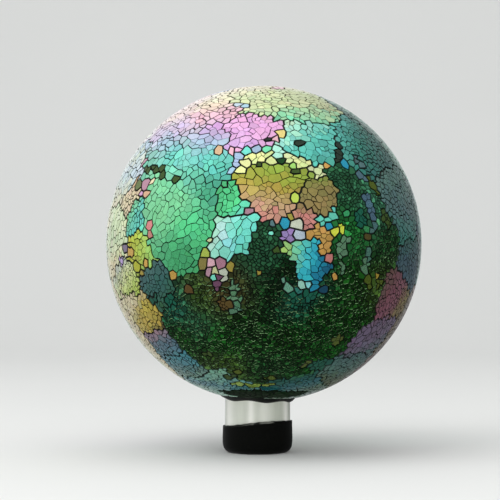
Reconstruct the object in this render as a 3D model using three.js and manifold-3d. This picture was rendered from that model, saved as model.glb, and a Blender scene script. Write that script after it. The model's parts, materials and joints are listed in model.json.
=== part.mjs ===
// Garden gazing ball: a blown mirror globe in a mosaic of crackle glass, standing in a rubber neck cap.
// Millimetres, +Z up. The origin lies on the surface that the cap stands on, below the middle of the ball.
// Azimuths turn from the front (-Y) towards the right (+X); elevations rise from the ball's waist.

import * as THREE from 'three';
import { ConvexHull } from 'three/addons/math/ConvexHull.js';
import { mergeVertices } from 'three/addons/utils/BufferGeometryUtils.js';
import Module from 'manifold-3d';

const wasm = await Module();
wasm.setup();

// Driving dimensions: the ball
const ballRadius = 127;
const mosaicThickness = 1.8;
const groutThickness = 0.8;
const glassWall = 2;

// Driving dimensions: the neck, the cap it stands in and the sealant round its root
const neckRadius = 26.4;
const neckWall = 2.6;
const neckOffset = -5;
const neckShownLength = 20.3;
const neckEndRound = 1.7;
const capWall = 1.3;
const capFloor = 2;
const capRimHeight = 23.5;
const capRimSlant = 3.2;
const capRimWave = 0.4;
const capCornerRadius = 4.5;
const capBulge = 0.25;
const sealantReach = 5.2;
const sealantDrop = 2.1;
const sealantBulge = 0.9;
const sealantWave = 0.7;

// Driving dimensions: fits, and the joints between the sheets
const fitGap = 0.3;
const jointWidth = 1.8;
const cutOverrun = 5;

// Counts, angles and shares that hold no length
const turnSegments = 36;
const ballRings = 18;
const roundSteps = 4;
const capSlantAzimuth = 45;
const capWaves = 3;
const capWavePhase = 1;
const sealantWaves = 5;
const neckHoleShards = 16;
const patternSeed = 42;
const shardTries = 12000;
const settlingRounds = 3;
const shardWidthShare = 0.15;
const smallestShardWidthShare = 0.063;
const shortestShardEdgeShare = 0.016;
const shardGrowthShare = 0.55;
const shardPerReachShare = 1.15;
const edgeMoveShare = 0.38;
const cornerMoveShare = 1.8;
const capBulgeHeightShare = 0.55;
const sealantShoulderShare = 0.4;
const facetReachShare = 0.6;

// Fits that follow from the driving dimensions
const ballCentreHeight = capRimHeight + neckShownLength + undersideDepth(ballRadius, neckOffset, neckRadius);
const facetSag = ballRadius * (1 - Math.cos(shardWidthShare * facetReachShare));
const groutRadius = ballRadius - mosaicThickness - facetSag - fitGap;
const sheetSeatRadius = groutRadius + fitGap;
const groutInnerRadius = groutRadius - groutThickness;
const globeRadius = groutInnerRadius - fitGap;
const globeInnerRadius = globeRadius - glassWall;
const boreRadius = neckRadius - neckWall;
const neckSeatHeight = capFloor + fitGap;
const capInnerRadius = neckRadius + fitGap;
const capOuterRadius = capInnerRadius + capWall;
const sealantRadius = neckRadius + fitGap + sealantReach;

// Colours of the metal oxide films under the crackle glass, and of the plain materials
const films = {
  mint: '#6fd196',
  turquoise: '#72cabb',
  cyan: '#84decb',
  blue: '#2b7d90',
  pale_blue: '#8fb4d8',
  violet: '#8674a5',
  lavender: '#cbc8e6',
  pink: '#dfabda',
  rose: '#b08a86',
  salmon: '#b98a72',
  peach: '#d9b59a',
  orange: '#b9803f',
  bronze: '#6f5f38',
  olive: '#9d9b43',
  gold: '#b3a051',
  yellow: '#cfd58c',
  lime: '#b7cb6c',
  pale_lime: '#c6d5a0',
  pearl: '#c3d2c9',
  seafoam: '#587666',
  sage: '#4c6a62',
  teal: '#37675a',
  green: '#4fb273',
  dark_green: '#1a3c1a',
};
const crackleGlass = { roughness: 0.22, metalness: 0.75 };
const mirrorGlass = { color: '#c8ccc0', roughness: 0.12, metalness: 0.85 };
const grout = { color: '#14160f', roughness: 0.8, metalness: 0 };
const sealant = { color: '#0d0e0c', roughness: 0.45, metalness: 0 };
const rubber = { color: '#101010', roughness: 0.6, metalness: 0 };

// The sheets of crackle glass: name, film, azimuth, elevation, and reach as a share of the ball's radius
const sheetReachShares = [
  ['turquoise_sheet_left_shoulder', 'turquoise', -33, 34, 0.19],
  ['lavender_sheet_crown', 'lavender', -34, 51, 0.18],
  ['pearl_sheet_left_rim', 'pearl', -66, 27, 0.18],
  ['mint_sheet_left', 'mint', -31, 10, 0.28],
  ['pink_sheet_crown', 'pink', -6, 42, 0.17],
  ['lime_sheet_crown', 'pale_lime', 8, 61, 0.22],
  ['turquoise_sheet_right_shoulder', 'turquoise', 21, 38, 0.17],
  ['yellow_sheet_brow', 'yellow', -1, 29.5, 0.08],
  ['pale_lime_sheet_brow', 'pale_lime', 16, 28.5, 0.08],
  ['olive_sheet_front', 'olive', 1, 17, 0.15],
  ['bronze_sheet_front', 'bronze', 21, 16, 0.11],
  ['salmon_chip_front', 'salmon', 15, 8, 0.06],
  ['green_sheet_front', 'green', -11, 13, 0.1],
  ['cyan_sheet_front', 'cyan', -13, -2, 0.15],
  ['blue_sheet_front', 'blue', 15, -11, 0.15],
  ['orange_chip_front', 'orange', 19.5, 0, 0.07],
  ['violet_chip_front', 'violet', 7.5, 2.5, 0.06],
  ['cyan_chip_front', 'cyan', 24, 9, 0.055],
  ['peach_sheet_left_rim', 'peach', -50, 17, 0.11],
  ['turquoise_chip_left', 'turquoise', -49, 8.5, 0.07],
  ['lime_sheet_left', 'lime', -46, -2, 0.11],
  ['lemon_sheet_left_rim', 'pale_lime', -65, 2, 0.15],
  ['yellow_sheet_left', 'yellow', -57, -13, 0.12],
  ['teal_sheet_left', 'seafoam', -41, -13, 0.12],
  ['gold_sheet_low_left', 'gold', -52, -27, 0.13],
  ['lilac_sheet_low_left', 'violet', -48, -38, 0.12],
  ['blue_sheet_low_left', 'pale_blue', -43, -49, 0.15],
  ['seafoam_sheet_underside', 'seafoam', -26, -58, 0.15],
  ['teal_sheet_right_shoulder', 'teal', 46, 33, 0.21],
  ['dark_green_sheet_right_upper', 'dark_green', 34, 17, 0.17],
  ['sage_sheet_right_rim', 'sage', 60, 12, 0.17],
  ['blue_sheet_right_rim', 'blue', 63, -7, 0.12],
  ['rose_sheet_right_rim', 'rose', 58, -19, 0.12],
  ['violet_sheet_low_right', 'violet', 52, -34, 0.17],
  ['sage_sheet_low_right', 'sage', 48, -51, 0.15],
  ['blue_sheet_underside', 'blue', 19, -59, 0.15],
  ['dark_green_sheet_front', 'dark_green', 3, -24, 0.24],
  ['dark_green_sheet_left', 'dark_green', -23, -25, 0.18],
  ['dark_green_sheet_right', 'dark_green', 31, -18, 0.21],
  ['dark_green_sheet_low', 'dark_green', -2, -43, 0.19],
  ['mint_sheet_back_crown', 'mint', 96, 44, 0.32],
  ['gold_sheet_back_crown', 'gold', 151, 49, 0.3],
  ['turquoise_sheet_back_crown', 'turquoise', 206, 46, 0.33],
  ['pink_sheet_back_crown', 'pink', 260, 49, 0.28],
  ['cyan_sheet_right_side', 'cyan', 91, 5, 0.28],
  ['dark_green_sheet_back_right', 'dark_green', 127, 10, 0.32],
  ['lime_sheet_back', 'lime', 162, 6, 0.26],
  ['blue_sheet_back', 'blue', 195, 10, 0.28],
  ['olive_sheet_back_left', 'olive', 232, 8, 0.29],
  ['green_sheet_left_side', 'green', 268, 9, 0.26],
  ['rose_sheet_low_right_side', 'rose', 94, -36, 0.28],
  ['teal_sheet_low_back_right', 'teal', 139, -33, 0.31],
  ['dark_green_sheet_low_back', 'dark_green', 186, -36, 0.33],
  ['violet_sheet_low_back_left', 'violet', 233, -33, 0.3],
  ['sage_sheet_low_left_side', 'sage', 273, -36, 0.26],
];

// A direction from the ball's centre, given by azimuth and elevation in degrees
function direction(azimuth, elevation) {
  const turn = THREE.MathUtils.degToRad(azimuth);
  const rise = THREE.MathUtils.degToRad(elevation);
  const level = Math.cos(rise);
  return new THREE.Vector3(level * Math.sin(turn), -level * Math.cos(turn), Math.sin(rise));
}

// The same row of random numbers each time, from 0 to 1, made by mixing the bits of a counter
function randomRow(seed) {
  let state = seed;
  return () => {
    state = (state + 0x6d2b79f5) | 0;
    let mixed = Math.imul(state ^ (state >>> 15), 1 | state);
    mixed = (mixed + Math.imul(mixed ^ (mixed >>> 7), 61 | mixed)) ^ mixed;
    return ((mixed ^ (mixed >>> 14)) >>> 0) / 2 ** 32;
  };
}

// Depth of the ball's underside below its centre, at a place beside the ball's axis
function undersideDepth(radius, x, y) {
  return Math.sqrt(radius * radius - x * x - y * y);
}

// A solid turned round Z from a profile of radius and height points that runs up its outside
function turned(profile) {
  const bare = new THREE.LatheGeometry(profile, turnSegments).rotateX(Math.PI / 2);
  bare.deleteAttribute('normal');
  bare.deleteAttribute('uv');
  const geometry = mergeVertices(bare);
  const corners = geometry.index.array;
  const kept = [];
  for (let k = 0; k < corners.length; k += 3) {
    const [a, b, c] = corners.slice(k, k + 3);
    if (a !== b && b !== c && c !== a) {
      kept.push(a, b, c);
    }
  }
  geometry.setIndex(kept);
  return geometry;
}

// Moves each vertex to the place that a rule gives for its radius, height and azimuth
function reshaped(geometry, rule) {
  const position = geometry.getAttribute('position');
  const point = new THREE.Vector3();
  for (let i = 0; i < position.count; i += 1) {
    point.fromBufferAttribute(position, i);
    rule(point, Math.hypot(point.x, point.y), Math.atan2(point.x, -point.y));
    position.setXYZ(i, point.x, point.y, point.z);
  }
  return geometry;
}

// Points of a quarter round from one angle to another, about a centre in a profile
function roundPoints(centreRadius, centreHeight, radius, startAngle, endAngle) {
  const points = [];
  for (let step = 0; step <= roundSteps; step += 1) {
    const angle = startAngle + ((endAngle - startAngle) * step) / roundSteps;
    const x = centreRadius + radius * Math.cos(angle);
    const y = centreHeight + radius * Math.sin(angle);
    points.push(new THREE.Vector2(x, y));
  }
  return points;
}

// A closed ball about the origin, with its poles on Z
function ballSolid(radius) {
  const profile = [];
  for (let ring = 0; ring <= ballRings; ring += 1) {
    const angle = (Math.PI * ring) / ballRings;
    const onAxis = ring === 0 || ring === ballRings;
    profile.push(new THREE.Vector2(onAxis ? 0 : radius * Math.sin(angle), -radius * Math.cos(angle)));
  }
  return turned(profile);
}

// A geometry as a manifold solid, and back
function asSolid(geometry) {
  const vertProperties = new Float32Array(geometry.getAttribute('position').array);
  const triVerts = new Uint32Array(geometry.index.array);
  return new wasm.Manifold(new wasm.Mesh({ numProp: 3, vertProperties, triVerts }));
}

function asGeometry(solid) {
  const mesh = solid.getMesh();
  const geometry = new THREE.BufferGeometry();
  geometry.setAttribute('position', new THREE.BufferAttribute(new Float32Array(mesh.vertProperties), 3));
  geometry.setIndex(new THREE.BufferAttribute(new Uint32Array(mesh.triVerts), 1));
  return geometry;
}

// A named mesh with a material of its own
function piece(name, geometry, finish) {
  geometry.computeVertexNormals();
  const mesh = new THREE.Mesh(geometry, new THREE.MeshStandardMaterial({ ...finish, flatShading: true }));
  mesh.name = name;
  return mesh;
}

// The neck as a plug, from its rounded end up to the level of the ball's middle
function neckSolid() {
  const end = neckSeatHeight - ballCentreHeight;
  const profile = [
    new THREE.Vector2(0, end),
    ...roundPoints(neckRadius - neckEndRound, end + neckEndRound, neckEndRound, -Math.PI / 2, 0),
    new THREE.Vector2(neckRadius, 0),
    new THREE.Vector2(0, 0),
  ];
  return turned(profile).translate(neckOffset, 0, 0);
}

// A straight round cutter through the ball's underside, on the neck's axis
function neckCutter(radius) {
  const low = -ballCentreHeight - cutOverrun;
  const profile = [
    new THREE.Vector2(0, low),
    new THREE.Vector2(radius, low),
    new THREE.Vector2(radius, 0),
    new THREE.Vector2(0, 0),
  ];
  return turned(profile).translate(neckOffset, 0, 0);
}

// The blown ball of mirror glass, open underneath into the bore of its neck
function glassGlobe() {
  const inside = asSolid(ballSolid(globeInnerRadius)).add(asSolid(neckCutter(boreRadius)));
  return piece('glass_globe', asGeometry(asSolid(ballSolid(globeRadius)).subtract(inside)), mirrorGlass);
}

// The neck of the globe: a tube with a rounded open end, cut to fit the underside of the ball
function glassNeck() {
  const inside = asSolid(ballSolid(globeRadius + fitGap)).add(asSolid(neckCutter(boreRadius)));
  return piece('glass_neck', asGeometry(asSolid(neckSolid()).subtract(inside)), mirrorGlass);
}

// The dark bedding that holds the mosaic, open where the neck comes out
function groutCoat() {
  const outside = asSolid(ballSolid(groutRadius));
  const inside = asSolid(ballSolid(groutInnerRadius)).add(asSolid(neckCutter(neckRadius + fitGap)));
  return piece('grout_coat', asGeometry(outside.subtract(inside)), grout);
}

// The bead of sealant in the corner between neck and ball, with a hand-smeared lower edge
function sealantCollar() {
  const inner = neckRadius + fitGap;
  const profile = [
    new THREE.Vector2(inner, -1),
    new THREE.Vector2(inner + sealantBulge, -1),
    new THREE.Vector2(sealantRadius - sealantBulge, -sealantShoulderShare),
    new THREE.Vector2(sealantRadius, 0),
    new THREE.Vector2(sealantRadius, 1),
    new THREE.Vector2(inner, 1),
    new THREE.Vector2(inner, -1),
  ];
  const ring = reshaped(turned(profile), (point, radius, azimuth) => {
    const top = -undersideDepth(sheetSeatRadius, point.x + neckOffset, point.y);
    const skin = -undersideDepth(ballRadius, point.x + neckOffset, point.y);
    const wave = sealantWave * Math.sin(sealantWaves * azimuth + Math.sin(azimuth));
    const bottom = skin - sealantDrop - wave;
    point.z = point.z > 0 ? skin + (top - skin) * point.z : skin + (skin - bottom) * point.z;
  });
  ring.translate(neckOffset, 0, 0);
  return piece('sealant_collar', ring, sealant);
}

// The soft rubber cap: a cup with a rounded foot, a slight belly and a rim that sits askew
function neckCap() {
  const innerRound = neckEndRound + fitGap;
  const footRadius = capOuterRadius - capCornerRadius;
  const straight = capRimHeight - capCornerRadius;
  const profile = [
    new THREE.Vector2(0, 0),
    ...roundPoints(footRadius, capCornerRadius, capCornerRadius, -Math.PI / 2, 0),
    new THREE.Vector2(capOuterRadius + capBulge, capCornerRadius + straight * capBulgeHeightShare),
    new THREE.Vector2(capOuterRadius, capRimHeight - capWall / 2),
    new THREE.Vector2(capInnerRadius + capWall / 2, capRimHeight),
    new THREE.Vector2(capInnerRadius, capRimHeight - capWall / 2),
    ...roundPoints(capInnerRadius - innerRound, capFloor + innerRound, innerRound, 0, -Math.PI / 2),
    new THREE.Vector2(0, capFloor),
  ];
  const slantTurn = THREE.MathUtils.degToRad(capSlantAzimuth);
  const cup = reshaped(turned(profile), (point, radius, azimuth) => {
    const share = Math.max(0, point.z - capCornerRadius) / straight;
    const slant = capRimSlant * Math.cos(azimuth - slantTurn);
    const wave = capRimWave * Math.sin(capWaves * azimuth + capWavePhase);
    point.z += share * (slant + wave);
  });
  cup.translate(neckOffset, 0, 0);
  return piece('neck_cap', cup, rubber);
}

// The direction from the ball's centre to a place on the sheets' seat, given beside the ball's axis
function undersidePlace(x, y) {
  return new THREE.Vector3(x, y, -undersideDepth(sheetSeatRadius, x, y)).normalize();
}

// Pairs of shard middles on both sides of a circle on the ball, so that shard edges follow the circle
function neckHolePoints() {
  const hole = sealantRadius + fitGap - jointWidth / 2;
  const step = (Math.PI * 2 * hole) / (neckHoleShards * 3);
  const rings = { dropped: [], kept: [] };
  for (let k = 0; k < neckHoleShards; k += 1) {
    const turn = (Math.PI * 2 * k) / neckHoleShards;
    for (const [ring, radius] of [['dropped', hole - step], ['kept', hole + step]]) {
      const x = neckOffset + radius * Math.cos(turn);
      const y = radius * Math.sin(turn);
      rings[ring].push(undersidePlace(x, y));
    }
  }
  return rings;
}

// Shard middles all over the ball: close together near small sheets and wide apart in large ones
function shardPoints(sheets, hole) {
  const random = randomRow(patternSeed);
  const middles = sheets.map((sheet) => sheet.middle);
  const points = [...middles];
  const widthAt = (point) => sheets.reduce((width, sheet) => {
    const beyond = Math.max(0, point.angleTo(sheet.middle) - sheet.reach);
    const own = Math.max(smallestShardWidthShare, sheet.reach * shardPerReachShare);
    return Math.min(width, own + beyond * shardGrowthShare);
  }, shardWidthShare);
  for (let attempt = 0; attempt < shardTries; attempt += 1) {
    const height = 2 * random() - 1;
    const turn = 2 * Math.PI * random();
    const level = Math.sqrt(1 - height * height);
    const point = new THREE.Vector3(level * Math.cos(turn), level * Math.sin(turn), height);
    const width = widthAt(point);
    if (points.every((other) => other.distanceTo(point) > width)) {
      points.push(point);
    }
  }
  const neckMiddle = undersidePlace(neckOffset, 0);
  const holeAngle = Math.max(...hole.kept.map((point) => point.angleTo(neckMiddle)));
  const clearAngle = holeAngle + smallestShardWidthShare;
  const free = points.slice(middles.length).filter((point) => point.angleTo(neckMiddle) > clearAngle);
  return [...middles, ...hole.kept, ...hole.dropped, ...free];
}

// The shards round the points: for each point its corners in order, and the neighbour past each edge.
// Corners closer together than the shortest edge are one corner.
function shardCells(points) {
  const indexOf = new Map(points.map((point, index) => [point, index]));
  const corners = [];
  const cornerAfter = points.map(() => new Map());
  for (const face of new ConvexHull().setFromPoints(points).faces) {
    const around = [0, 1, 2].map((k) => indexOf.get(face.getEdge(k).head().point));
    const known = corners.findIndex((corner) => corner.distanceTo(face.normal) < shortestShardEdgeShare);
    const corner = known < 0 ? corners.push(face.normal.clone()) - 1 : known;
    around.forEach((index, k) => {
      cornerAfter[index].set(around[(k + 1) % 3], { corner, neighbour: around[(k + 2) % 3] });
    });
  }
  const cells = cornerAfter.map((ring) => {
    const order = [];
    let from = ring.keys().next().value;
    while (order.length < ring.size) {
      order.push(ring.get(from));
      from = ring.get(from).neighbour;
    }
    return order.filter(({ corner }, k) => corner !== order[(k + 1) % order.length].corner);
  });
  return { corners, cells };
}

// Evens out the free points, so that no shard edge is very short
function settled(points, fixedCount) {
  let current = points;
  for (let round = 0; round < settlingRounds; round += 1) {
    const { corners, cells } = shardCells(current);
    current = current.map((point, index) => {
      if (index < fixedCount) {
        return point;
      }
      const middle = new THREE.Vector3();
      cells[index].forEach(({ corner }) => middle.add(corners[corner]));
      return middle.normalize();
    });
  }
  return current;
}

// Gives each shard to a sheet: every sheet grows outwards from the shard at its middle
function shardOwners(sheets, points, cells, dropped) {
  const owner = points.map(() => -1);
  sheets.forEach((sheet, index) => {
    owner[index] = index;
  });
  let claimed = true;
  while (claimed) {
    let best = null;
    points.forEach((point, index) => {
      if (owner[index] >= 0 || dropped.has(index)) {
        return;
      }
      for (const { neighbour } of cells[index]) {
        const sheet = owner[neighbour];
        const cost = sheet < 0 ? Infinity : point.angleTo(sheets[sheet].middle) - sheets[sheet].reach;
        if (cost < (best ? best.cost : Infinity)) {
          best = { cost, index, sheet };
        }
      }
    });
    claimed = best !== null;
    if (claimed) {
      owner[best.index] = best.sheet;
    }
  }
  return owner;
}

// The name of a shard's corner in its own sheet. Two parts of a sheet that meet in one point only get
// a corner each: the walk round the corner, from shard to shard inside the sheet, tells them apart.
function cornerName(owner, cells, shard, corner) {
  let at = shard;
  do {
    const { neighbour } = cells[at].find((edge) => edge.corner === corner);
    if (owner[neighbour] !== owner[shard]) {
      return `${corner} ${at}`;
    }
    at = neighbour;
  } while (at !== shard);
  return `${corner}`;
}

// Every place that a sheet's corners take: edge corners move inwards by half a joint, or by less where
// an edge is too short for that
function sheetCorners(sheet, owner, corners, cells) {
  const half = jointWidth / 2 / ballRadius;
  const known = new Map();
  const cornerOf = (shard, corner) => {
    const name = cornerName(owner, cells, shard, corner);
    if (!known.has(name)) {
      known.set(name, { place: corners[corner].clone(), inwards: [], shortest: Infinity });
    }
    return known.get(name);
  };
  cells.forEach((cell, shard) => {
    if (owner[shard] !== sheet) {
      return;
    }
    cell.forEach(({ corner, neighbour }, k) => {
      const next = cell[(k + 1) % cell.length].corner;
      const along = new THREE.Vector3().subVectors(corners[next], corners[corner]);
      const outwards = new THREE.Vector3().addVectors(corners[next], corners[corner]).normalize();
      for (const end of [cornerOf(shard, corner), cornerOf(shard, next)]) {
        end.shortest = Math.min(end.shortest, along.length());
        if (owner[neighbour] !== sheet) {
          end.inwards.push(new THREE.Vector3().crossVectors(outwards, along).normalize());
        }
      }
    });
  });
  for (const { place, inwards, shortest } of known.values()) {
    if (inwards.length > 0) {
      const together = Math.max(1 + inwards[0].dot(inwards[1]), edgeMoveShare);
      const move = inwards[0].clone().add(inwards[1]).multiplyScalar(half / together);
      move.clampLength(0, Math.min(half * cornerMoveShare, shortest * edgeMoveShare));
      place.add(move).normalize();
    }
  }
  return known;
}

// The shards of one sheet, each as a middle and its corners' places, with the edges that end the sheet
function sheetShards(sheet, owner, corners, cells) {
  const known = sheetCorners(sheet, owner, corners, cells);
  const shards = [];
  cells.forEach((cell, shard) => {
    if (owner[shard] === sheet) {
      const names = cell.map(({ corner }) => cornerName(owner, cells, shard, corner));
      const places = names.map((name) => known.get(name).place);
      const middle = places.reduce((sum, place) => sum.add(place), new THREE.Vector3()).normalize();
      const ends = cell.map(({ neighbour }) => owner[neighbour] !== sheet);
      shards.push({ name: `shard ${shard}`, middle, names, places, ends });
    }
  });
  return shards;
}

// How far down a sheet's flat facets reach, as a share of the radius that their corners lie on
function facetDepthShare(shards) {
  let lowest = 1;
  for (const { middle, places } of shards) {
    places.forEach((place, k) => {
      const facet = new THREE.Triangle(middle, place, places[(k + 1) % places.length]);
      lowest = Math.min(lowest, facet.getNormal(new THREE.Vector3()).dot(middle));
    });
  }
  return lowest;
}

// One sheet of crackle glass: its shards' faces outside and underneath, joined by walls at its edge
function crackleSheet(shards) {
  const underside = sheetSeatRadius / facetDepthShare(shards);
  const position = [];
  const index = [];
  const known = new Map();
  const vertex = (name, place, radius) => {
    const full = `${name} at ${radius}`;
    if (!known.has(full)) {
      known.set(full, known.size);
      position.push(place.x * radius, place.y * radius, place.z * radius);
    }
    return known.get(full);
  };
  for (const { name, middle, names, places, ends } of shards) {
    const middleTop = vertex(name, middle, ballRadius);
    const middleUnder = vertex(name, middle, underside);
    const top = names.map((corner, k) => vertex(corner, places[k], ballRadius));
    const under = names.map((corner, k) => vertex(corner, places[k], underside));
    names.forEach((corner, k) => {
      const after = (k + 1) % names.length;
      index.push(middleTop, top[k], top[after], middleUnder, under[after], under[k]);
      if (ends[k]) {
        index.push(under[k], under[after], top[after], under[k], top[after], top[k]);
      }
    });
  }
  const geometry = new THREE.BufferGeometry();
  geometry.setAttribute('position', new THREE.Float32BufferAttribute(position, 3));
  geometry.setIndex(index);
  return geometry;
}

// The whole mosaic, one mesh for each sheet
function mosaic() {
  const sheets = sheetReachShares.map(([name, film, azimuth, elevation, reach]) => {
    return { name, film, reach, middle: direction(azimuth, elevation) };
  });
  const hole = neckHolePoints();
  const fixedCount = sheets.length + hole.kept.length + hole.dropped.length;
  const firstDropped = sheets.length + hole.kept.length;
  const dropped = new Set(hole.dropped.map((point, k) => firstDropped + k));
  const points = settled(shardPoints(sheets, hole), fixedCount);
  const { corners, cells } = shardCells(points);
  const owner = shardOwners(sheets, points, cells, dropped);
  return sheets.map((sheet, index) => {
    const geometry = crackleSheet(sheetShards(index, owner, corners, cells));
    return piece(sheet.name, geometry, { ...crackleGlass, color: films[sheet.film] });
  });
}

// The ball's own pieces hang on a group at the ball's centre; the cap stands on the origin's surface
const ball = new THREE.Group();
ball.position.set(0, 0, ballCentreHeight);
ball.add(glassGlobe(), glassNeck(), groutCoat(), sealantCollar(), ...mosaic());

const gazingBall = new THREE.Group();
gazingBall.add(neckCap(), ball);

export default gazingBall;
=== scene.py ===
# %% [markdown]
# # A crackle glass gazing ball
#
# A gazing ball is a blown glass globe, silvered inside and dressed outside with a mosaic of crackle glass.
# Crackle glass is a sheet that shattered on cooling: it breaks into small flat fragments that stay side by side.
# Under each sheet lies a film of metal oxide, which gives it one drifting colour. Dark grout fills the joints.
#
# The CAD part holds the globe, its neck, the coarse sheets, the bedding, the sealant and the rubber cap.
# This lesson keeps their sizes and gives them their fine surface: some nine thousand fragments, and the finishes.
# Lengths are in metres, +Z is up, and the front of the ball faces -Y.

# %% Load the frame
import json
import math
import bpy
import numpy as np
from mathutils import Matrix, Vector
from mathutils.bvhtree import BVHTree
from mathutils.kdtree import KDTree


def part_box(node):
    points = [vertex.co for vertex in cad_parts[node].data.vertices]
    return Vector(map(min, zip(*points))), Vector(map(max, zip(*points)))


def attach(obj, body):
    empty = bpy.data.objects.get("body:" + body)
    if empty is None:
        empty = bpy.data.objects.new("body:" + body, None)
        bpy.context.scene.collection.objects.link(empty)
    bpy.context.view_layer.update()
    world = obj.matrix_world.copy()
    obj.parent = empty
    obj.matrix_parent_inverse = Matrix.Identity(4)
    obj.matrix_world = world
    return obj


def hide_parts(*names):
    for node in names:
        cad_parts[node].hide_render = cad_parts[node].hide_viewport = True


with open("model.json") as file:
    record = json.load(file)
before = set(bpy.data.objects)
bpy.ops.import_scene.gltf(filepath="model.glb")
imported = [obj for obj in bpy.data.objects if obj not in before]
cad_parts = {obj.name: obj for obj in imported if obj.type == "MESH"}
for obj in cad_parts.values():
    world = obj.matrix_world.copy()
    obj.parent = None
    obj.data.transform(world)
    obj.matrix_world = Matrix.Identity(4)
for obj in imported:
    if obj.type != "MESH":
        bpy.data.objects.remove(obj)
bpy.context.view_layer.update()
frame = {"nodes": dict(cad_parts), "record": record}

MM = 0.001

# %% [markdown]
# ## The sizes that the looks share with the CAD part
#
# The fragments' tops lie on the ball's radius. The neck stands a little to the left of the ball's middle.

# %% Shared sizes
BALL_RADIUS = 127 * MM
BALL_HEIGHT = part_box("grout_coat")[1].z - 124.39 * MM
NECK_X = -5 * MM
NECK_RADIUS = 26.4 * MM
NECK_WALL = 2.6 * MM
SEALANT_RADIUS = 31.9 * MM
SHEET_THICKNESS = 1.05 * MM
GROUT_RADIUS = 125.85 * MM
random_row = np.random.default_rng(11)
print("ball centre at", round(BALL_HEIGHT / MM, 2), "mm")

# %% [markdown]
# ## Small helpers
#
# Every piece is made as by hand: select, go into edit mode, extrude, inset or scale, then apply the modifiers.
# These helpers select, switch mode, apply, and read a mesh's values as columns. A place on the ball is given by
# its azimuth, 0 at the front and 90 at the right, and its elevation. Tables are plain text: their rows are
# parted by commas or line ends.

# %% Helpers
def only(piece):
    if bpy.context.object and bpy.context.object.mode != "OBJECT":
        bpy.ops.object.mode_set(mode="OBJECT")
    bpy.ops.object.select_all(action="DESELECT")
    piece.select_set(True)
    bpy.context.view_layer.objects.active = piece


def edit(piece, mode="FACE", select=None):
    only(piece)
    bpy.context.tool_settings.mesh_select_mode = [mode == kind for kind in ("VERT", "EDGE", "FACE")]
    bpy.ops.object.mode_set(mode="EDIT")
    if select is not None:
        bpy.ops.mesh.select_all(action=select)


def done():
    bpy.ops.object.mode_set(mode="OBJECT")


def modify(piece, kind, **settings):
    only(piece)
    modifier = piece.modifiers.new(kind.title(), kind)
    for name, value in settings.items():
        setattr(modifier, name, value)
    bpy.ops.object.modifier_apply(modifier=modifier.name)


def column(rows, name, kind=float, wide=1):
    values = np.empty(len(rows) * wide, kind)
    rows.foreach_get(name, values)
    return values if wide == 1 else values.reshape(-1, wide)


def face_rows(mesh):
    return column(mesh.polygons, "center", wide=3), column(mesh.polygons, "normal", wide=3)


def pick_faces(piece, chosen):
    mesh = piece.data
    mesh.vertices.foreach_set("select", np.zeros(len(mesh.vertices), bool))
    mesh.edges.foreach_set("select", np.zeros(len(mesh.edges), bool))
    mesh.polygons.foreach_set("select", chosen)


def place(azimuth, elevation):
    turn, rise = np.radians(azimuth), np.radians(elevation)
    return np.stack([np.cos(rise) * np.sin(turn), -np.cos(rise) * np.cos(turn), np.sin(rise)], -1)


def azimuths(points):
    return np.degrees(np.arctan2(points[:, 0], -points[:, 1]))


def rightward(points):
    right = np.stack([-points[:, 1], points[:, 0], points[:, 2] * 0], -1)
    return right / np.maximum(np.linalg.norm(right, axis=1, keepdims=True), 1e-6)


def number(word):
    try:
        return float(word)
    except ValueError:
        return word


def table(text):
    rows = text.replace(",", "\n").split("\n")
    return [[number(word) for word in row.split()] for row in rows if row.strip()]


def report(piece):
    triangles = sum(len(face.vertices) - 2 for face in piece.data.polygons)
    print(f"{piece.name}: {len(piece.data.polygons)} faces, {triangles} triangles")
    return triangles


# %% [markdown]
# ## The films' colours
#
# A metal oxide film is a few hundred nanometres thick. Where it grows thicker, its colour walks through the
# rainbow: that is why one sheet drifts from lavender to turquoise to mint.
#
# Most of these codes weren't picked by eye. A helper program outside this script measured the photograph's tone
# over each part of a sheet, each chip and each place in AURORA and SHADE, divided it by the tone of a render
# there, and printed a code. Many codes are such results, some as they were and some rounded or shared.

# %% Palette
PALETTE = dict(table("""
    mint #7ce2b4, mint_green #5be094, spring #82da9c, green #49b274, jade #66c2a4, deep_jade #3a9a72
    turquoise #66d4c2, aqua #74ead2, cyan #8ffde2, ice #bdfde2, sky_blue #45deee, blue #27a4c6
    deep_blue #1c7296, navy #113c50, sky #a6c8dc, pale_sky #c4dbe4, periwinkle #a8bcd8, lavender #d0bcdc
    lilac #c6aedd, orchid #dcaade, pink #f0b4e0, rose #f4bccb, blush #ead0c6, ivory #f2e6ba, cream #e8d8b2
    pearl #d2ddc8, lemon #e8f4a2, pale_lime #dde8ae, lime_green #b4e878, lime #c1da5c, yellow #cdd040
    lemon_green #e4f04c, olive_lime #97b748, olive #9dac3b, gold #b5a044, sand #cdaa7f, salmon #d98f86
    peach #dcb48c, orange #e0b05c, bronze #93894a, tan #9b8953, brown #4e4828, rust #564628, plum #6c4a60
    mauve #b88a98, violet #a78dc8, rosewood #805a60, wine #96606e, dusk #84748f, steel #567688, slate #5a7f80
    dim_slate #466470, dim_teal #3a6e68, dim_rose #6e5250, teal #358a7b, dark_teal #1f5c4a, grey_teal #5c887c
    sage #5b8a6c, seafoam #7db99d, grey_green #6a9a76, fern #2d5f40, fern_light #3f7a5c, bright_leaf #287a38
    leaf_dark #155018, moss #38501f, olive_dark #5a6a2a, dark #0a300d, dark_left #17401d, dark_right #113c0f
    black_green #06240a, smoke #26332a, low_blue #3e909c, lagoon #147a82, driftwood #877c60, amber #ccb64a
    butter #f2d884, glow #e6fbc8
"""))


def linear(name):
    code = PALETTE[name]
    parts = np.array([int(code[k:k + 2], 16) / 255 for k in (1, 3, 5)])
    return np.where(parts <= 0.04045, parts / 12.92, ((parts + 0.055) / 1.055) ** 2.4)
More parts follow.
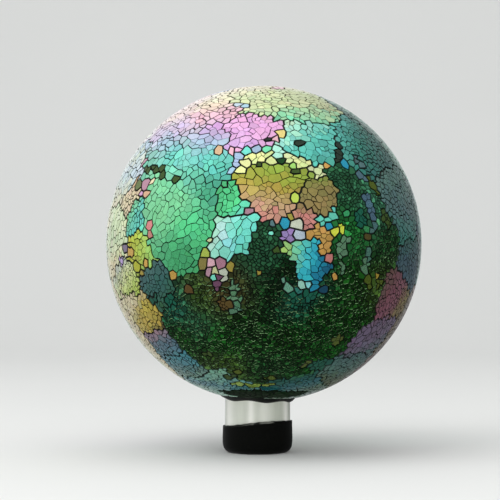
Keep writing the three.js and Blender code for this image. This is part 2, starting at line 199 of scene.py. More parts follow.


# %% [markdown]
# ## The sheets of film
#
# Each row is a sheet: its CAD node, its middle's azimuth and elevation, its reach in degrees, the width of its
# fragments in millimetres, the way that its colours run, where 0 is down and 90 is to the right, and the colours
# from one end to the other. Large sheets break into wide fragments, and the dark ones into fine splinters.

# %% Sheets
# The lemon sheet on the left rim is nearly white: a painted sheen, where the ball mirrors the bright sky.
# The sheets of the right rim take dim, dark colours: painted shade of the side turned from the light.
SHEETS = table("""
    lavender_sheet_crown -40 51 12 5.2 0 aurora
    turquoise_sheet_left_shoulder -33 33 12 5.2 0 aurora
    mint_sheet_left -32 9 14.5 4.9 0 aurora
    pearl_sheet_left_rim -67 26 10 4.6 0 sky pearl pale_sky pearl ivory
    pink_sheet_crown -6 43 10 5 -20 rose pink pink orchid lilac
    lime_sheet_crown 6 62 14 4.9 20 cream pale_lime pale_lime mint
    turquoise_sheet_right_shoulder 21 38 10.5 4.8 30 pale_lime ice turquoise turquoise teal
    yellow_sheet_brow -2 29.5 3.5 4.2 0 lemon
    pale_lime_sheet_brow 14 29 4.2 3.9 0 mint pale_lime lemon lime_green
    olive_sheet_front 0 18.5 8.6 4.6 -12 olive_lime olive gold sand salmon
    bronze_sheet_front 19.5 16 6 4 10 olive_lime bronze tan tan
    salmon_chip_front 14.5 8.2 3.8 3.9 0 bronze salmon salmon
    green_sheet_front -10.5 13 4.8 4.3 60 green mint_green aqua
    cyan_sheet_front -11.5 0 7.6 5.8 70 ice ice cyan aqua aqua
    blue_sheet_front 15 -6 6.2 4.6 75 lime_green aqua sky_blue blue deep_blue
    orange_chip_front 19 2.4 3.2 4.4 0 orange
    violet_chip_front 6 0.8 2.4 4 0 violet
    cyan_chip_front 24.6 8.4 2.6 4.6 0 turquoise aqua
    peach_sheet_left_rim -58.5 16.5 3.6 3.6 0 peach cream cream
    turquoise_chip_left -49.5 9 5 3.3 60 spring turquoise aqua
    lime_sheet_left -48 -1.6 4.8 4.2 80 yellow lime lime_green
    lemon_sheet_left_rim -68 3 8.4 4.6 0 glow glow glow ivory
    yellow_sheet_left -61 -14 5.5 3 30 pearl lemon lime
    teal_sheet_left -40 -14 6.6 3.6 30 slate dim_teal fern
    gold_sheet_low_left -53 -27 6.6 3.8 40 ivory amber amber brown
    lilac_sheet_low_left -51 -38 6 3.8 10 mauve steel low_blue
    blue_sheet_low_left -45 -49 7.5 3.8 10 low_blue low_blue grey_teal seafoam
    seafoam_sheet_underside -28 -58 8.5 3.8 0 seafoam seafoam low_blue seafoam
    teal_sheet_right_shoulder 45 33 11 3.9 60 turquoise teal dim_teal
    dark_green_sheet_right_upper 34 17 9.4 2.45 0 dark
    sage_sheet_right_rim 61 12 9.6 3.8 0 grey_teal slate teal
    blue_sheet_right_rim 65 -7 6 3.6 0 dim_teal dim_slate dim_slate
    rose_sheet_right_rim 58 -19 6.6 3.9 60 dim_rose wine wine tan
    violet_sheet_low_right 52 -34 8.6 4.4 20 wine dusk dusk slate
    sage_sheet_low_right 49 -51 8 4.2 0 slate grey_teal olive_dark
    blue_sheet_underside 21 -59 8 3.8 20 bright_leaf dark_teal lagoon sage
    dark_green_sheet_front 2 -24 14.5 2.45 0 dark
    dark_green_sheet_left -24 -25 11.5 2.45 0 dark
    dark_green_sheet_right 31 -20 12.5 2.45 0 dark
    dark_green_sheet_low 0 -44 12.5 2.45 0 dark
    mint_sheet_back_crown 96 44 18 5.6 80 grey_teal seafoam mint turquoise
    gold_sheet_back_crown 151 49 17 5.6 20 pale_lime gold salmon
    turquoise_sheet_back_crown 206 46 19 5.6 -20 lavender sky turquoise mint
    pink_sheet_back_crown 260 49 16 5.4 80 lilac pink rose pearl
    cyan_sheet_right_side 91 5 16 5 90 dim_slate grey_teal turquoise cyan aqua blue
    dark_green_sheet_back_right 127 10 18 3.6 0 dark
    lime_sheet_back 162 6 15 5.2 20 pale_lime lime olive
    blue_sheet_back 195 10 16 5.2 50 aqua blue deep_blue
    olive_sheet_back_left 232 8 16 5.2 0 olive_lime olive gold salmon
    green_sheet_left_side 268 9 15 5 90 green mint_green turquoise pearl ivory
    rose_sheet_low_right_side 94 -36 16 4.6 90 driftwood rosewood mauve dusk
    teal_sheet_low_back_right 139 -33 18 5 0 teal turquoise seafoam
    dark_green_sheet_low_back 186 -36 19 3.6 0 dark
    violet_sheet_low_back_left 233 -33 17 5 0 lilac violet steel
    sage_sheet_low_left_side 273 -36 15 4.4 90 seafoam sage seafoam ivory cream
""")

# %% [markdown]
# ## The grain of the cracks
#
# In some sheets the cracks run mostly one way, so their fragments are longer than wide. Each row says how much
# longer, and how the long side leans from the level, upward to the right. The dark sheets have a grain as well:
# it is level at the front and climbs towards the right.

# %% Grain
GRAIN = {name: (longer, lean) for name, longer, lean in table("""
    lavender_sheet_crown 1.4 20, turquoise_sheet_left_shoulder 1.3 15, mint_sheet_left 1.4 65
    pearl_sheet_left_rim 1.6 70, lime_sheet_crown 1.6 -45, turquoise_sheet_right_shoulder 1.5 -45
    olive_sheet_front 1.3 -15, cyan_sheet_front 1.5 65, blue_sheet_front 1.3 -50, lemon_sheet_left_rim 1.5 85
    yellow_sheet_left 1.4 -70, teal_sheet_left 1.9 -60, gold_sheet_low_left 1.3 -45
    seafoam_sheet_underside 1.4 0, blue_sheet_underside 1.4 0, rose_sheet_right_rim 1.3 70
    violet_sheet_low_right 1.3 45, sage_sheet_right_rim 1.2 -60
""")}
DARK_GRAIN = 1.6

# %% [markdown]
# ## Lobes and chips
#
# A sheet is seldom round: lobes give it more middles, each with an azimuth, an elevation and a reach. Chips are
# single shards of other glass, set where two sheets meet or where a corner broke away. A chip has a reach and a
# colour, and a long one also says how much longer than wide it is, and how it leans. It is part of the CAD sheet
# that it lies on. Two sheets at the upper left share one drifting film, and so do the dark ones: AURORA and SHADE
# give those films' colours at some places. The places on the front were read as pixels in the photograph, and a
# helper program turned them into angles.

# %% Lobes and chips
LOBES = []
for name, *spots in table("""
    lavender_sheet_crown -20 54 6 -62 50 9
    turquoise_sheet_left_shoulder -19 27 5.5 -50 31 6 -21 38 5
    mint_sheet_left -38 18 7 -28 -4 7.5 -22 7 5.5
    pink_sheet_crown 3 40 5.4 -12 39 5
    lime_sheet_crown -6 56 7 24 52 9
    turquoise_sheet_right_shoulder 9 36 4.4
    olive_sheet_front 8 22 5.5 5 13 5.5 -4 24 3
    bronze_sheet_front 25 18 3.6
    cyan_sheet_front -16 -5 5 -8 5 4.6 -12.5 -8 3.6
    blue_sheet_front 20 -9.5 4 10 -3 3 18 -13 3
    orange_chip_front 21 -2.2 1.8
    violet_chip_front 8.6 2.6 1.4
    peach_sheet_left_rim -57.2 21.5 2.2
    cyan_chip_front 21 8 1.8
    lime_sheet_left -44 -4.5 2.8
    dark_green_sheet_front 0 -6 6.5 3 1 4 -7 -14 6
    dark_green_sheet_right 30 -4 7 39 -27 7.5 33 -37 6
    dark_green_sheet_left -32 -33 8 -27 -15 5
    dark_green_sheet_right_upper 30 23 4.5 30 6 6 45 4 7
    sage_sheet_right_rim 54 22 5
    gold_sheet_low_left -60 -21 5
    seafoam_sheet_underside -42 -60 6
    blue_sheet_underside 35 -62 6
    rose_sheet_right_rim 52 -24 4
    violet_sheet_low_right 46 -42 3.6
    dark_green_sheet_left -28 -8.5 3 -25.5 -5.5 1.7
    dark_green_sheet_front -7.5 -7 3.4 7.5 -9 3.6
    dark_green_sheet_low -30 -44 6 -12 -52 5 14 -50 6
    mint_sheet_left -31.5 -7.5 2.2
"""):
    LOBES += [(name, *spots[k:k + 3]) for k in range(0, len(spots), 3)]
CHIPS = table("""
    7.5 40.3 1.7 butter, 5.2 37.6 2.2 rose, -18.5 33.1 2 peach, -13.3 32.4 1.5 rose, -10.3 32.7 1.2 pink
    -6.9 32.5 1.7 aqua, -2.8 33 1.5 sky, 1.6 33.1 1.6 mint, -10.6 28.4 2.2 periwinkle, -11.9 24.6 1.5 sky
    -6.6 27.2 1.6 lemon, -7.7 25.2 1.3 lemon, 3 28.6 1.6 lemon, 6.4 31.9 2 ice, -1.6 26.2 1.1 moss
    6.8 28.2 1.3 dark_left, 12 24.4 1.2 moss, 10.8 25.6 1.6 lime_green, 20.5 24.5 2.4 pale_lime
    24.5 26.5 1.4 orange, -52.5 26.3 1.2 moss 2.6 -10, -48.5 27 1 moss 2.4 -5, -45.2 25.6 1.2 moss 2.4 -5
    -41.2 23.9 1.3 moss 2.4 -15, -33.4 21.6 1.2 moss 2 -20, -14.6 19.5 1.4 green, -5.2 10 1.2 mauve
    10.8 14.8 1.6 lime, 9.1 8.1 1.3 gold, 7.2 5.8 1.9 blue, 11.7 5.4 2 pearl, 12.4 2 1.9 pale_sky
    2.9 5.6 1.4 slate, 2.4 2.4 0.9 cyan, 22.1 4.8 1 blue, 25.2 3.2 1.9 lemon_green, 27.3 4.7 1.3 lemon_green
    29.4 9.6 1.8 green, 28.1 -1.6 2.4 grey_green 2 78, 28.2 -8.9 1.2 grey_green 2.8 95, 22.9 -5.6 1.4 salmon
    25.2 -11.9 1.3 orange, -1.5 -10.3 1 gold 1.8 80, 13.4 -14.2 1.4 ice, 15.8 -14.8 1.4 cyan, 11.7 -16.6 2 teal
    8.6 -15.9 1.9 seafoam, 7.2 -13.7 1.1 seafoam, 16.6 -18.5 2.4 dark_teal, 21.8 -16.2 2.2 navy
    -20 -3.4 1.15 lime, -18.4 0.2 0.9 pale_lime, -21 -7.4 1.8 bronze, -23 -8.2 1.2 orange, -17.6 -7 1.5 rose
    -15 -8.2 1.2 mauve, -19.6 -10.4 1.5 mauve, -17 -9.6 1.7 pale_lime, -13.6 -10.8 2 pearl, -11.4 -8.8 1.4 gold
    -16 -14.2 2.2 plum, -11 -15.6 2 grey_green, -10.4 -19.6 2.4 grey_green, -10.2 -23.2 2 sage
    -14.6 -21.2 2.2 rust, -27.6 -16.4 1.9 rust, -33 -11.6 1.8 orange, -49.2 20.6 1.7 mauve, -50.4 17.4 2 pink
    -54 20.6 1.9 olive_dark, -45.8 21.6 1.5 cream, -47.2 16.6 1.6 peach, -56.5 29.5 1.1 mauve 2.4 75
    -43.3 4.9 1.7 salmon 2.1 100, -57.4 -1.8 1.8 dusk, -60.6 -6.4 2 lilac, -45.2 -7.4 1.5 orange
    -53.6 -3.6 1.5 orange, -50.6 -8.2 1.7 yellow, -48.6 -10.6 1.3 gold, -11 56 1.8 sky 1.5 0
    -15 57 1.2 pale_sky, 31.2 30.6 1.4 smoke 1.8 80, 33 35.2 1.1 smoke 1.8 80, 1.4 36.9 0.8 smoke
    14.5 36.2 0.8 smoke 1.5 20, 33.2 27.6 1.6 blue, 39.5 28.5 2.4 slate, 38.5 23.6 1.7 steel 1.8 -20
    43.5 20 1.6 olive_dark 2.6 -65, 39.8 13 2.2 steel 2.4 -70, 41.5 5.6 1.5 slate 1.8 70
    35.4 7.4 2.2 dark_teal 1.7 -60, 48 8 2 moss 2 -75, 38 2 1.8 brown, 38.6 -3.5 1.7 grey_teal 1.8 -80
    37.4 -9.4 2 grey_green 1.9 -80, 39.6 -13 1.7 olive_dark 2 -70, 43.6 -11.6 1.3 gold, 46 -14 2 olive_dark
    31 -47.5 3 dark_teal 1.5 20, 4.4 -2.8 1.2 moss, 33 -36 2.2 olive_dark, -12 -69.8 5 black_green 2.4 0
    18 -70 4.6 dark 2 0, -26 -42 2.2 moss, 4.4 -54.8 1.5 olive_dark 2 0, -16.3 -59 1.6 olive_lime 1.9 10
    -5 -60.4 1.6 olive_lime 2.6 0, -14.6 -51.5 1.7 olive_dark 1.6 60, 5.2 -59.8 1.1 olive 2.4 0
    21.5 -48 1.5 olive_dark 1.6 70, -21.5 -55 1.5 moss 1.8 20, -36 -20.5 2.4 dark_teal, -44 -20 2 dark_teal
    109 14 2.4 aqua 1.6 80, 111 -2 1.9 lime, 107 22 1.8 mint, 118 27 2.4 cream 1.8 20, 132 29 1.9 lime_green
    126 31 1.6 sky, 145 18 2.2 olive_lime 1.8 85, 147 3 1.9 orange, 144 -8 2.4 teal 1.6 70
    163 27 2.4 lemon 1.9 0, 172 25 1.8 rose, 178 29 2.2 lilac 1.6 40, 179 14 2.4 ice 1.5 90, 180 0 1.9 sky_blue
    177 -11 2.2 gold 1.8 10, 196 27 2.4 turquoise 2 10, 207 24 1.8 blue, 214 16 2.3 lime_green 1.7 85
    213 2 1.9 orange, 216 -9 2.4 violet 1.6 60, 232 27 2.4 pink 1.8 -10, 242 26 1.7 lemon
    250 18 2.2 cream 1.8 80, 251 4 1.9 salmon, 249 -8 1.9 mauve, 268 27 2.4 mint 2 0, 262 -13 2.2 lilac 1.8 0
    232 -14 2.4 peach 2 0, 205 -17 2.4 deep_blue 1.8 -20, 190 -17 1.8 olive, 163 -15 2.4 seafoam 2 10
    128 -13 2.2 pearl 1.8 0, 112 -19 2.2 rosewood 1.6 40, 95 -17 2.2 steel 2.2 0, 114 -38 2.2 teal 1.8 70
    162 -38 2.2 moss 1.8 85, 211 -37 2.4 lilac 1.8 80, 254 -38 1.9 sage 1.8 80, 124 52 2.2 lemon 1.8 60
    178 51 2.4 pearl 1.8 80, 233 50 2.2 sky 1.8 80, 20 76 2.2 rose 1.6 30, 200 74 2 lemon
    300 72 2 periwinkle 1.8 50, 100 74 2 spring 1.8 0
""")
# The last two places darken the drifting film a little: a patch of painted shade.
AURORA = table("""
    -62 52 blush, -37 57 ivory, -20 64 ivory, -37 51 rose, -20 51 rose, -60 43 lavender, -44 44 lavender
    -22 43 orchid, -48 37 sky, -24 37 periwinkle, -40 31 turquoise, -22 30 turquoise, -54 28 jade, -44 22 spring
    -27 21 jade, -17 24 turquoise, -38 11 spring, -25 5 mint_green, -28 -4 green, -31 15 spring
    -20 17.5 deep_jade, -17.5 21 deep_jade
""")
# SHADE's dark greens are a painted reflection: the dark surroundings that the ball mirrors, put into the film.
SHADE = table("""
    0 -4 fern, 3 -18 black_green, 44 16 fern_light, -6 -30 dark, 10 -34 dark_right, 2 -48 dark_left
    -24 -20 moss, -14 -17 brown, -28 -28 fern, -36 -34 dark_right, -18 -36 leaf_dark, 22 -26 dark_right
    34 -14 dark_right, 38 -28 dark_right, 32 4 bright_leaf, 34 18 fern, 40 10 fern_light, 48 0 dark_left
    14 -20 dark_teal, 120 16 dark_left, 134 0 dark_right, 186 -30 dark_right, 200 -44 dark_left, 170 -44 moss
    8 -10 black_green, -34 -23 dark_teal, 46 -15 moss, 32 -46 leaf_dark, -20 -48 moss
""")
print(len(SHEETS), "sheets,", len(LOBES), "lobes and", len(CHIPS), "chips")

# %% [markdown]
# ## Which sheet covers a place on the ball
#
# A place belongs to the sheet whose middle is nearest, less the sheet's reach. A little wobble bends the
# borders, as broken edges do. A chip wins wherever it lies. Each chip goes to the CAD sheet under it.

# %% Sheets, lobes and chips as fields
nodes = [row[0] for row in SHEETS]
slot_of = {part["node"]: part["material_slot"] for part in frame["record"]["subparts"]}
assert set(nodes) == {name for name in slot_of if "sheet" in name or "chip" in name}


def ellipses(rows):
    rows = [(*row, 1.0, 0.0)[:5] for row in rows]
    azimuth, elevation, reach, stretch, lean = (np.array(values, float) for values in zip(*rows))
    middle = place(azimuth, elevation)
    right = place(azimuth + 90, azimuth * 0)
    up = place(azimuth, elevation + 90)
    turn = np.radians(lean)[:, None]
    along = right * np.cos(turn) + up * np.sin(turn)
    across = up * np.cos(turn) - right * np.sin(turn)
    return middle, along, across, stretch, np.radians(reach)


def away_from(points, spots):
    middle, along, across, stretch, _ = spots
    reach = np.hypot(points @ along.T / stretch, points @ across.T)
    angle = np.arcsin(np.clip(reach, 0, 1))
    return np.where(points @ middle.T > 0, angle, math.pi - angle)


def wobble(points, row, strength):
    waves = np.zeros((len(points), len(row)))
    for pitch, share in ((9.0, 1.0), (21.0, 0.6), (47.0, 0.35)):
        way = place(row * 77.7 + pitch, row * 31.3 % 140 - 70)
        side = np.roll(way, 1, axis=1)
        waves += share * np.sin(pitch * (points @ way.T) + row) * np.cos(pitch * (points @ side.T))
    return waves * strength


spot_sheet = np.array([*range(len(SHEETS)), *(nodes.index(row[0]) for row in LOBES)])
sheet_spots = ellipses([row[1:4] for row in SHEETS] + [row[1:] for row in LOBES])
chip_spots = ellipses([(*row[:3], *row[4:]) for row in CHIPS])
chip_middle = chip_spots[0]

corners, triangles, owners = [], [], []
for index, name in enumerate(nodes):
    mesh = frame["nodes"][name].data
    mesh.calc_loop_triangles()
    first = len(corners)
    corners += [vertex.co.copy() for vertex in mesh.vertices]
    for triangle in mesh.loop_triangles:
        triangles.append([first + corner for corner in triangle.vertices])
        owners.append(index)
cad_skin = BVHTree.FromPolygons(corners, triangles)
middle_of_ball = Vector((0, 0, BALL_HEIGHT))
chip_sheet = []
for middle in chip_middle:
    found = cad_skin.find_nearest(middle_of_ball + Vector(middle) * BALL_RADIUS)
    chip_sheet.append(owners[found[2]])
chip_sheet = np.array(chip_sheet)


def regions(points):
    beyond = away_from(points, sheet_spots) - sheet_spots[-1]
    beyond += wobble(points, np.arange(len(spot_sheet)) * 1.7, math.radians(0.9))
    sheet = spot_sheet[beyond.argmin(1)]
    edge = away_from(points, chip_spots) / chip_spots[-1]
    edge += wobble(points, np.arange(len(CHIPS)) * 2.3, 0.1)
    chip = edge.argmin(1)
    on_chip = edge.min(1) < 1
    region = np.where(on_chip, len(nodes) + chip, sheet)
    return region, np.where(on_chip, chip_sheet[chip], sheet)


is_dark = np.array([row[6] == "dark" for row in SHEETS])
is_aurora = np.array([row[6] == "aurora" for row in SHEETS])
CHIP_WIDTH = 4.6
region_width = np.array([row[4] for row in SHEETS] + [CHIP_WIDTH] * len(CHIPS)) * MM
region_dark = np.append(is_dark, np.zeros(len(CHIPS), bool))
NO_GRAIN = (1.0, 0)
region_grain = np.array([(DARK_GRAIN, 0) if row[6] == "dark" else GRAIN.get(row[0], NO_GRAIN) for row in SHEETS]
                        + [NO_GRAIN] * len(CHIPS))
print("regions of film:", len(region_width))

# %% [markdown]
# ## The fragments' seeds
#
# Crackle glass breaks evenly but never regularly. Places are thrown onto the ball and thinned out, so that no
# two lie nearer than about one fragment's width. Along the grain they lie further apart than across it. A small
# chip keeps all other places away, so it stays in one piece.

# %% Seeds
THROWS = 160000
GOLDEN_TURN = math.pi * (1 + 5 ** 0.5)


def dark_lean(points):
    return np.clip(azimuths(points) * 1.3 - 13, 0, 50)


step = np.arange(THROWS) + 0.5
height = 1 - 2 * step / THROWS
turn = GOLDEN_TURN * step + random_row.normal(0, 0.7, THROWS)
height = np.clip(height + random_row.normal(0, 0.004, THROWS), -1, 1)
level = np.sqrt(1 - height ** 2)
thrown = np.vstack([chip_middle, np.stack([level * np.cos(turn), level * np.sin(turn), height], -1)])
thrown_region, _ = regions(thrown)
grain, tilt = region_grain[thrown_region].T
spacing = region_width[thrown_region] * 0.86 / BALL_RADIUS * random_row.uniform(0.55, 1.35, len(thrown))
spacing *= np.sqrt(grain)
small = chip_spots[-1] < math.radians(2)
spacing[:len(CHIPS)][small] = chip_spots[-1][small] * 1.5
tilt = np.radians(np.where(region_dark[thrown_region], dark_lean(thrown), tilt))
right = rightward(thrown)
across = np.cross(thrown, right) * np.cos(tilt)[:, None] - right * np.sin(tilt)[:, None]
tree = KDTree(len(thrown))
for index, point in enumerate(thrown):
    tree.insert(point, index)
tree.balance()
free = np.ones(len(thrown), bool)
seeds = []
for index in (*range(len(CHIPS)), *(len(CHIPS) + random_row.permutation(THROWS))):
    if free[index]:
        seeds.append(index)
        near = tree.find_range(thrown[index], spacing[index])
        others = np.array([other for _, other, _ in near])
        gap = thrown[others] - thrown[index]
        reach = (gap ** 2).sum(1) + (grain[index] ** 2 - 1) * (gap @ across[index]) ** 2
        free[others[reach < spacing[index] ** 2]] = False
print(len(seeds), "fragments")

# %% [markdown]
# ## From seeds to fragments
#
# The seeds are wrapped in a hull of triangles, and its dual has one polygon for each seed: a fragment.
# The polygons are then pushed out onto the ball. Real cracks meet at sharp corners, so corners that lie close
# together are merged, and each of the rest strays a little.

# %% Fragments
CRACK_DEPTH = 0.5 * MM
SHORTEST_EDGE = 0.55 * MM
CORNER_STRAY = 0.36
CHAMFER_DEPTH = 0.12 * MM
base_radius = BALL_RADIUS - CRACK_DEPTH - CHAMFER_DEPTH
seed_mesh = bpy.data.meshes.new("mosaic")
seed_mesh.from_pydata([tuple(point) for point in thrown[seeds]], [], [])
mosaic = bpy.data.objects.new("mosaic", seed_mesh)
bpy.context.collection.objects.link(mosaic)
edit(mosaic, "VERT", "SELECT")
bpy.ops.mesh.convex_hull(join_triangles=False)
done()

dual = bpy.data.node_groups.new("Fragments from seeds", "GeometryNodeTree")
dual.interface.new_socket("Seeds", in_out="INPUT", socket_type="NodeSocketGeometry")
dual.interface.new_socket("Fragments", in_out="OUTPUT", socket_type="NodeSocketGeometry")
start, end = dual.nodes.new("NodeGroupInput"), dual.nodes.new("NodeGroupOutput")
swap = dual.nodes.new("GeometryNodeDualMesh")
where = dual.nodes.new("GeometryNodeInputPosition")
unit = dual.nodes.new("ShaderNodeVectorMath")
unit.operation = "NORMALIZE"
grow = dual.nodes.new("ShaderNodeVectorMath")
grow.operation = "SCALE"
grow.inputs["Scale"].default_value = base_radius
move = dual.nodes.new("GeometryNodeSetPosition")
for source, target in ((start, swap.inputs[0]), (swap, move.inputs["Geometry"]), (where, unit.inputs[0]),
                       (unit, grow.inputs[0]), (grow, move.inputs["Position"]), (move, end.inputs[0])):
    dual.links.new(source.outputs[0], target)
for name in [mark.name for mark in mosaic.data.attributes if mark.name.startswith(".select")]:
    mosaic.data.attributes.remove(mosaic.data.attributes[name])
modify(mosaic, "NODES", node_group=dual)
edit(mosaic, "VERT", "SELECT")
bpy.ops.mesh.remove_doubles(threshold=SHORTEST_EDGE)
done()
mesh = mosaic.data
middle, normal = face_rows(mesh)
if (middle * normal).sum() < 0:
    edit(mosaic, "FACE", "SELECT")
    bpy.ops.mesh.flip_normals()
    done()

ends = column(mesh.edges, "vertices", np.int32, 2)
spots = column(mesh.vertices, "co", wide=3)
room = np.full(len(spots), 1.0)
length = np.linalg.norm(spots[ends[:, 0]] - spots[ends[:, 1]], axis=1)
np.minimum.at(room, ends[:, 0], length)
np.minimum.at(room, ends[:, 1], length)
nudge = random_row.normal(0, 1, spots.shape)
nudge *= (room * CORNER_STRAY)[:, None] / np.linalg.norm(nudge, axis=1, keepdims=True)
spots += nudge
spots *= base_radius / np.linalg.norm(spots, axis=1, keepdims=True)
mesh.vertices.foreach_set("co", spots.ravel())
mesh.update()
report(mosaic)

# %% [markdown]
# ## Round the neck
#
# The mosaic stops under the sealant. Fragments inside that circle go, and corners are pushed out to it.

# %% The circle round the neck
HOLE = SEALANT_RADIUS + 0.25 * MM


def open_round_neck(piece, radius, height):
    mesh = piece.data
    spots = column(mesh.vertices, "co", wide=3)
    middle, _ = face_rows(mesh)
    inside = (np.hypot(middle[:, 0] - NECK_X, middle[:, 1]) < HOLE) & (middle[:, 2] < height)
    away = np.hypot(spots[:, 0] - NECK_X, spots[:, 1])
    near = (away < HOLE) & (spots[:, 2] < height)
    push = HOLE / np.maximum(away[near], 1e-9)
    spots[near, 0] = NECK_X + (spots[near, 0] - NECK_X) * push
    spots[near, 1] *= push
    spots[near, 2] = height - np.sqrt(radius ** 2 - spots[near, 0] ** 2 - spots[near, 1] ** 2)
    mesh.vertices.foreach_set("co", spots.ravel())
    pick_faces(piece, inside)
    edit(piece)
    bpy.ops.mesh.delete(type="FACE")
    done()
    edit(piece, "VERT", "SELECT")
    bpy.ops.mesh.remove_doubles(threshold=0.05 * MM)
    done()
    print(int(inside.sum()), "faces taken out round the neck of", piece.name)


open_round_neck(mosaic, base_radius, 0)

# %% [markdown]
# ## The fragments' colours
#
# Each fragment gets one colour. It comes from where the fragment lies in its sheet's film, and it strays a
# little, as no two fragments face the light alike. The dark sheets' colour is a painted reflection of dark
# surroundings: most of their fragments are nearly black and some are green. Their glint says how strong a
# painted highlight their lower edge gets: none at the top of the dark part, more and in patches further down.
# It starts eight degrees below the level at the front, higher at the sides.

# %% Colours
def blended(points, rows):
    middles = place([row[0] for row in rows], [row[1] for row in rows])
    angle = np.arccos(np.clip(points @ middles.T, -1, 1))
    weight = 1 / (angle ** 2 + math.radians(4) ** 2) ** 2
    return (weight @ np.array([linear(row[2]) for row in rows])) / weight.sum(1, keepdims=True)


def banded(points, row):
    _, azimuth, elevation, reach, _, lean, *colours = row
    colours = np.array([linear(colour) for colour in colours])
    middle = place(azimuth, elevation)
    right = np.cross((0, 0, 1), middle)
    right /= np.linalg.norm(right)
    down = np.cross(right, middle)
    turn = math.radians(lean)
    way = right * math.sin(turn) + down * math.cos(turn)
    along = np.clip((points @ way) / (math.radians(reach) * 1.25) * 0.5 - (middle @ way) + 0.5, 0, 1)
    along = np.clip(along + random_row.normal(0, 0.05, len(points)), 0, 1) * (len(colours) - 1)
    return np.stack([np.interp(along, np.arange(len(colours)), colours[:, k]) for k in range(3)], -1)


SHARDS = 700
DARK_GAIN = 1.14
mesh = mosaic.data
middle, _ = face_rows(mesh)
facing = middle / np.linalg.norm(middle, axis=1, keepdims=True)
region, sheet = regions(facing)
count = len(facing)
film = np.zeros((count, 3))
aurora, shade = blended(facing, AURORA), blended(facing, SHADE)
for index, row in enumerate(SHEETS):
    mine = region == index
    if is_aurora[index]:
        film[mine] = aurora[mine]
    elif is_dark[index]:
        film[mine] = shade[mine]
    else:
        film[mine] = banded(facing[mine], row)
for index, chip in enumerate(CHIPS):
    film[region == len(nodes) + index] = linear(chip[3])
dark = region_dark[region]
stray = np.exp(random_row.normal(0, 0.08, (count, 1)) + random_row.normal(0, 0.03, (count, 3)))
elevation = np.degrees(np.arcsin(facing[:, 2]))
# Where the painted highlights of the dark part begin, and the patches that they lie in.
glints_start = 0.35 * np.abs(azimuths(facing)) - 8
below = np.clip((glints_start - elevation) / 9, 0, 1)
highlight_patches = np.clip(0.85 + wobble(facing, np.array([3.0]), 0.3)[:, 0], 0.5, 1)
# Tones of the painted dark reflection: most fragments nearly black, some green, a few bright.
luck = random_row.random(count)
lift = np.select([luck < 0.5, luck < 0.8, luck < 0.95], [0.42, 0.85, 1.5], 2.6)
lift = lift * random_row.uniform(0.7, 1.3, count)
lift = DARK_GAIN * (1 + (lift - 1) * (0.8 + 0.2 * below))
film = np.where(dark[:, None], film * lift[:, None], film) * stray
film = np.clip(film, 0.002, 0.95)


def face_values(mesh, name, values, kind="FLOAT"):
    attribute = mesh.attributes.get(name) or mesh.attributes.new(name, kind, "FACE")
    if kind == "FLOAT_COLOR":
        rows = np.hstack([values, np.ones((len(values), 1))])
        attribute.data.foreach_set("color", rows.astype(np.float32).ravel())
    else:
        attribute.data.foreach_set("value", np.asarray(values))


face_values(mesh, "film", film, "FLOAT_COLOR")
face_values(mesh, "fine", dark.astype(np.float32))
face_values(mesh, "region", region.astype(np.int32), "INT")
shard_middle = facing[random_row.permutation(count)[:SHARDS]]
shard_tree = KDTree(SHARDS)
for index, point in enumerate(shard_middle):
    shard_tree.insert(point, index)
shard_tree.balance()
shard = np.array([shard_tree.find(point)[1] for point in facing]) + region * SHARDS
face_values(mesh, "shard", shard.astype(np.int32), "INT")
# Each dark splinter's glint: the strength of the painted highlight on its lower edge.
glint = random_row.choice([0.0, 0.35, 0.7, 1.0], count, p=[0.2, 0.25, 0.3, 0.25])
face_values(mesh, "glint", np.where(dark, below * highlight_patches * glint, 0.0))
face_values(mesh, "raised", np.zeros(count, np.float32))
for name in nodes:
    mesh.materials.append(bpy.data.materials.new(name))
mesh.polygons.foreach_set("material_index", sheet.astype(np.int32))
print("fragments:", count, "of them dark:", int(dark.sum()))

# %% [markdown]
# ## Cutting the sheets apart
#
# Every border between two films is split, and each sheet is drawn in by half a joint. The strip that this
# leaves is deleted: that is where the grout shows. Within a sheet, long cracks that run past several
# fragments are opened a little in the same way. Then the sheets get their thickness. Joints are narrow where two
# sheets share one drifting film. These widths, and those of the cracks below, are in millimetres.

# %% Joints and thickness
def face_column(mesh, name):
    mark = mesh.attributes[name]
    return column(mark.data, "value", np.int32 if mark.data_type == "INT" else np.float32)


def split_between(piece, name):
    mesh = piece.data
    edge_of_loop = column(mesh.loops, "edge_index", np.int32)
    lengths = column(mesh.polygons, "loop_total", np.int32)
    of_loop = np.repeat(face_column(mesh, name), lengths)
    lowest = np.full(len(mesh.edges), 10 ** 8)
    highest = np.full(len(mesh.edges), -1)
    np.minimum.at(lowest, edge_of_loop, of_loop)
    np.maximum.at(highest, edge_of_loop, of_loop)
    pick_faces(piece, np.zeros(len(mesh.polygons), bool))
    mesh.edges.foreach_set("select", lowest != highest)
    edit(piece, "EDGE")
    bpy.ops.mesh.edge_split(type="EDGE")
    done()


def draw_in(piece, region_half):
    for half in np.unique(region_half):
        pick_faces(piece, region_half[face_column(piece.data, "region")] == half)
        edit(piece)
        bpy.ops.mesh.inset(thickness=half * MM, depth=0, use_boundary=True, use_even_offset=False,
                           use_select_inset=True)
        bpy.ops.mesh.delete(type="FACE")
        done()


half_joint = np.where(is_aurora, 0.12, np.where(is_dark, 0.1, 0.45))
half_long_crack = np.where(is_dark, 0.08, 0.2)
half_chip_joint = np.full(len(CHIPS), 0.42)
split_between(mosaic, "region")
draw_in(mosaic, np.append(half_joint, half_chip_joint))
split_between(mosaic, "shard")
draw_in(mosaic, np.append(half_long_crack, half_chip_joint * 0.3))
modify(mosaic, "SOLIDIFY", thickness=base_radius - BALL_RADIUS + SHEET_THICKNESS, offset=-1)
report(mosaic)
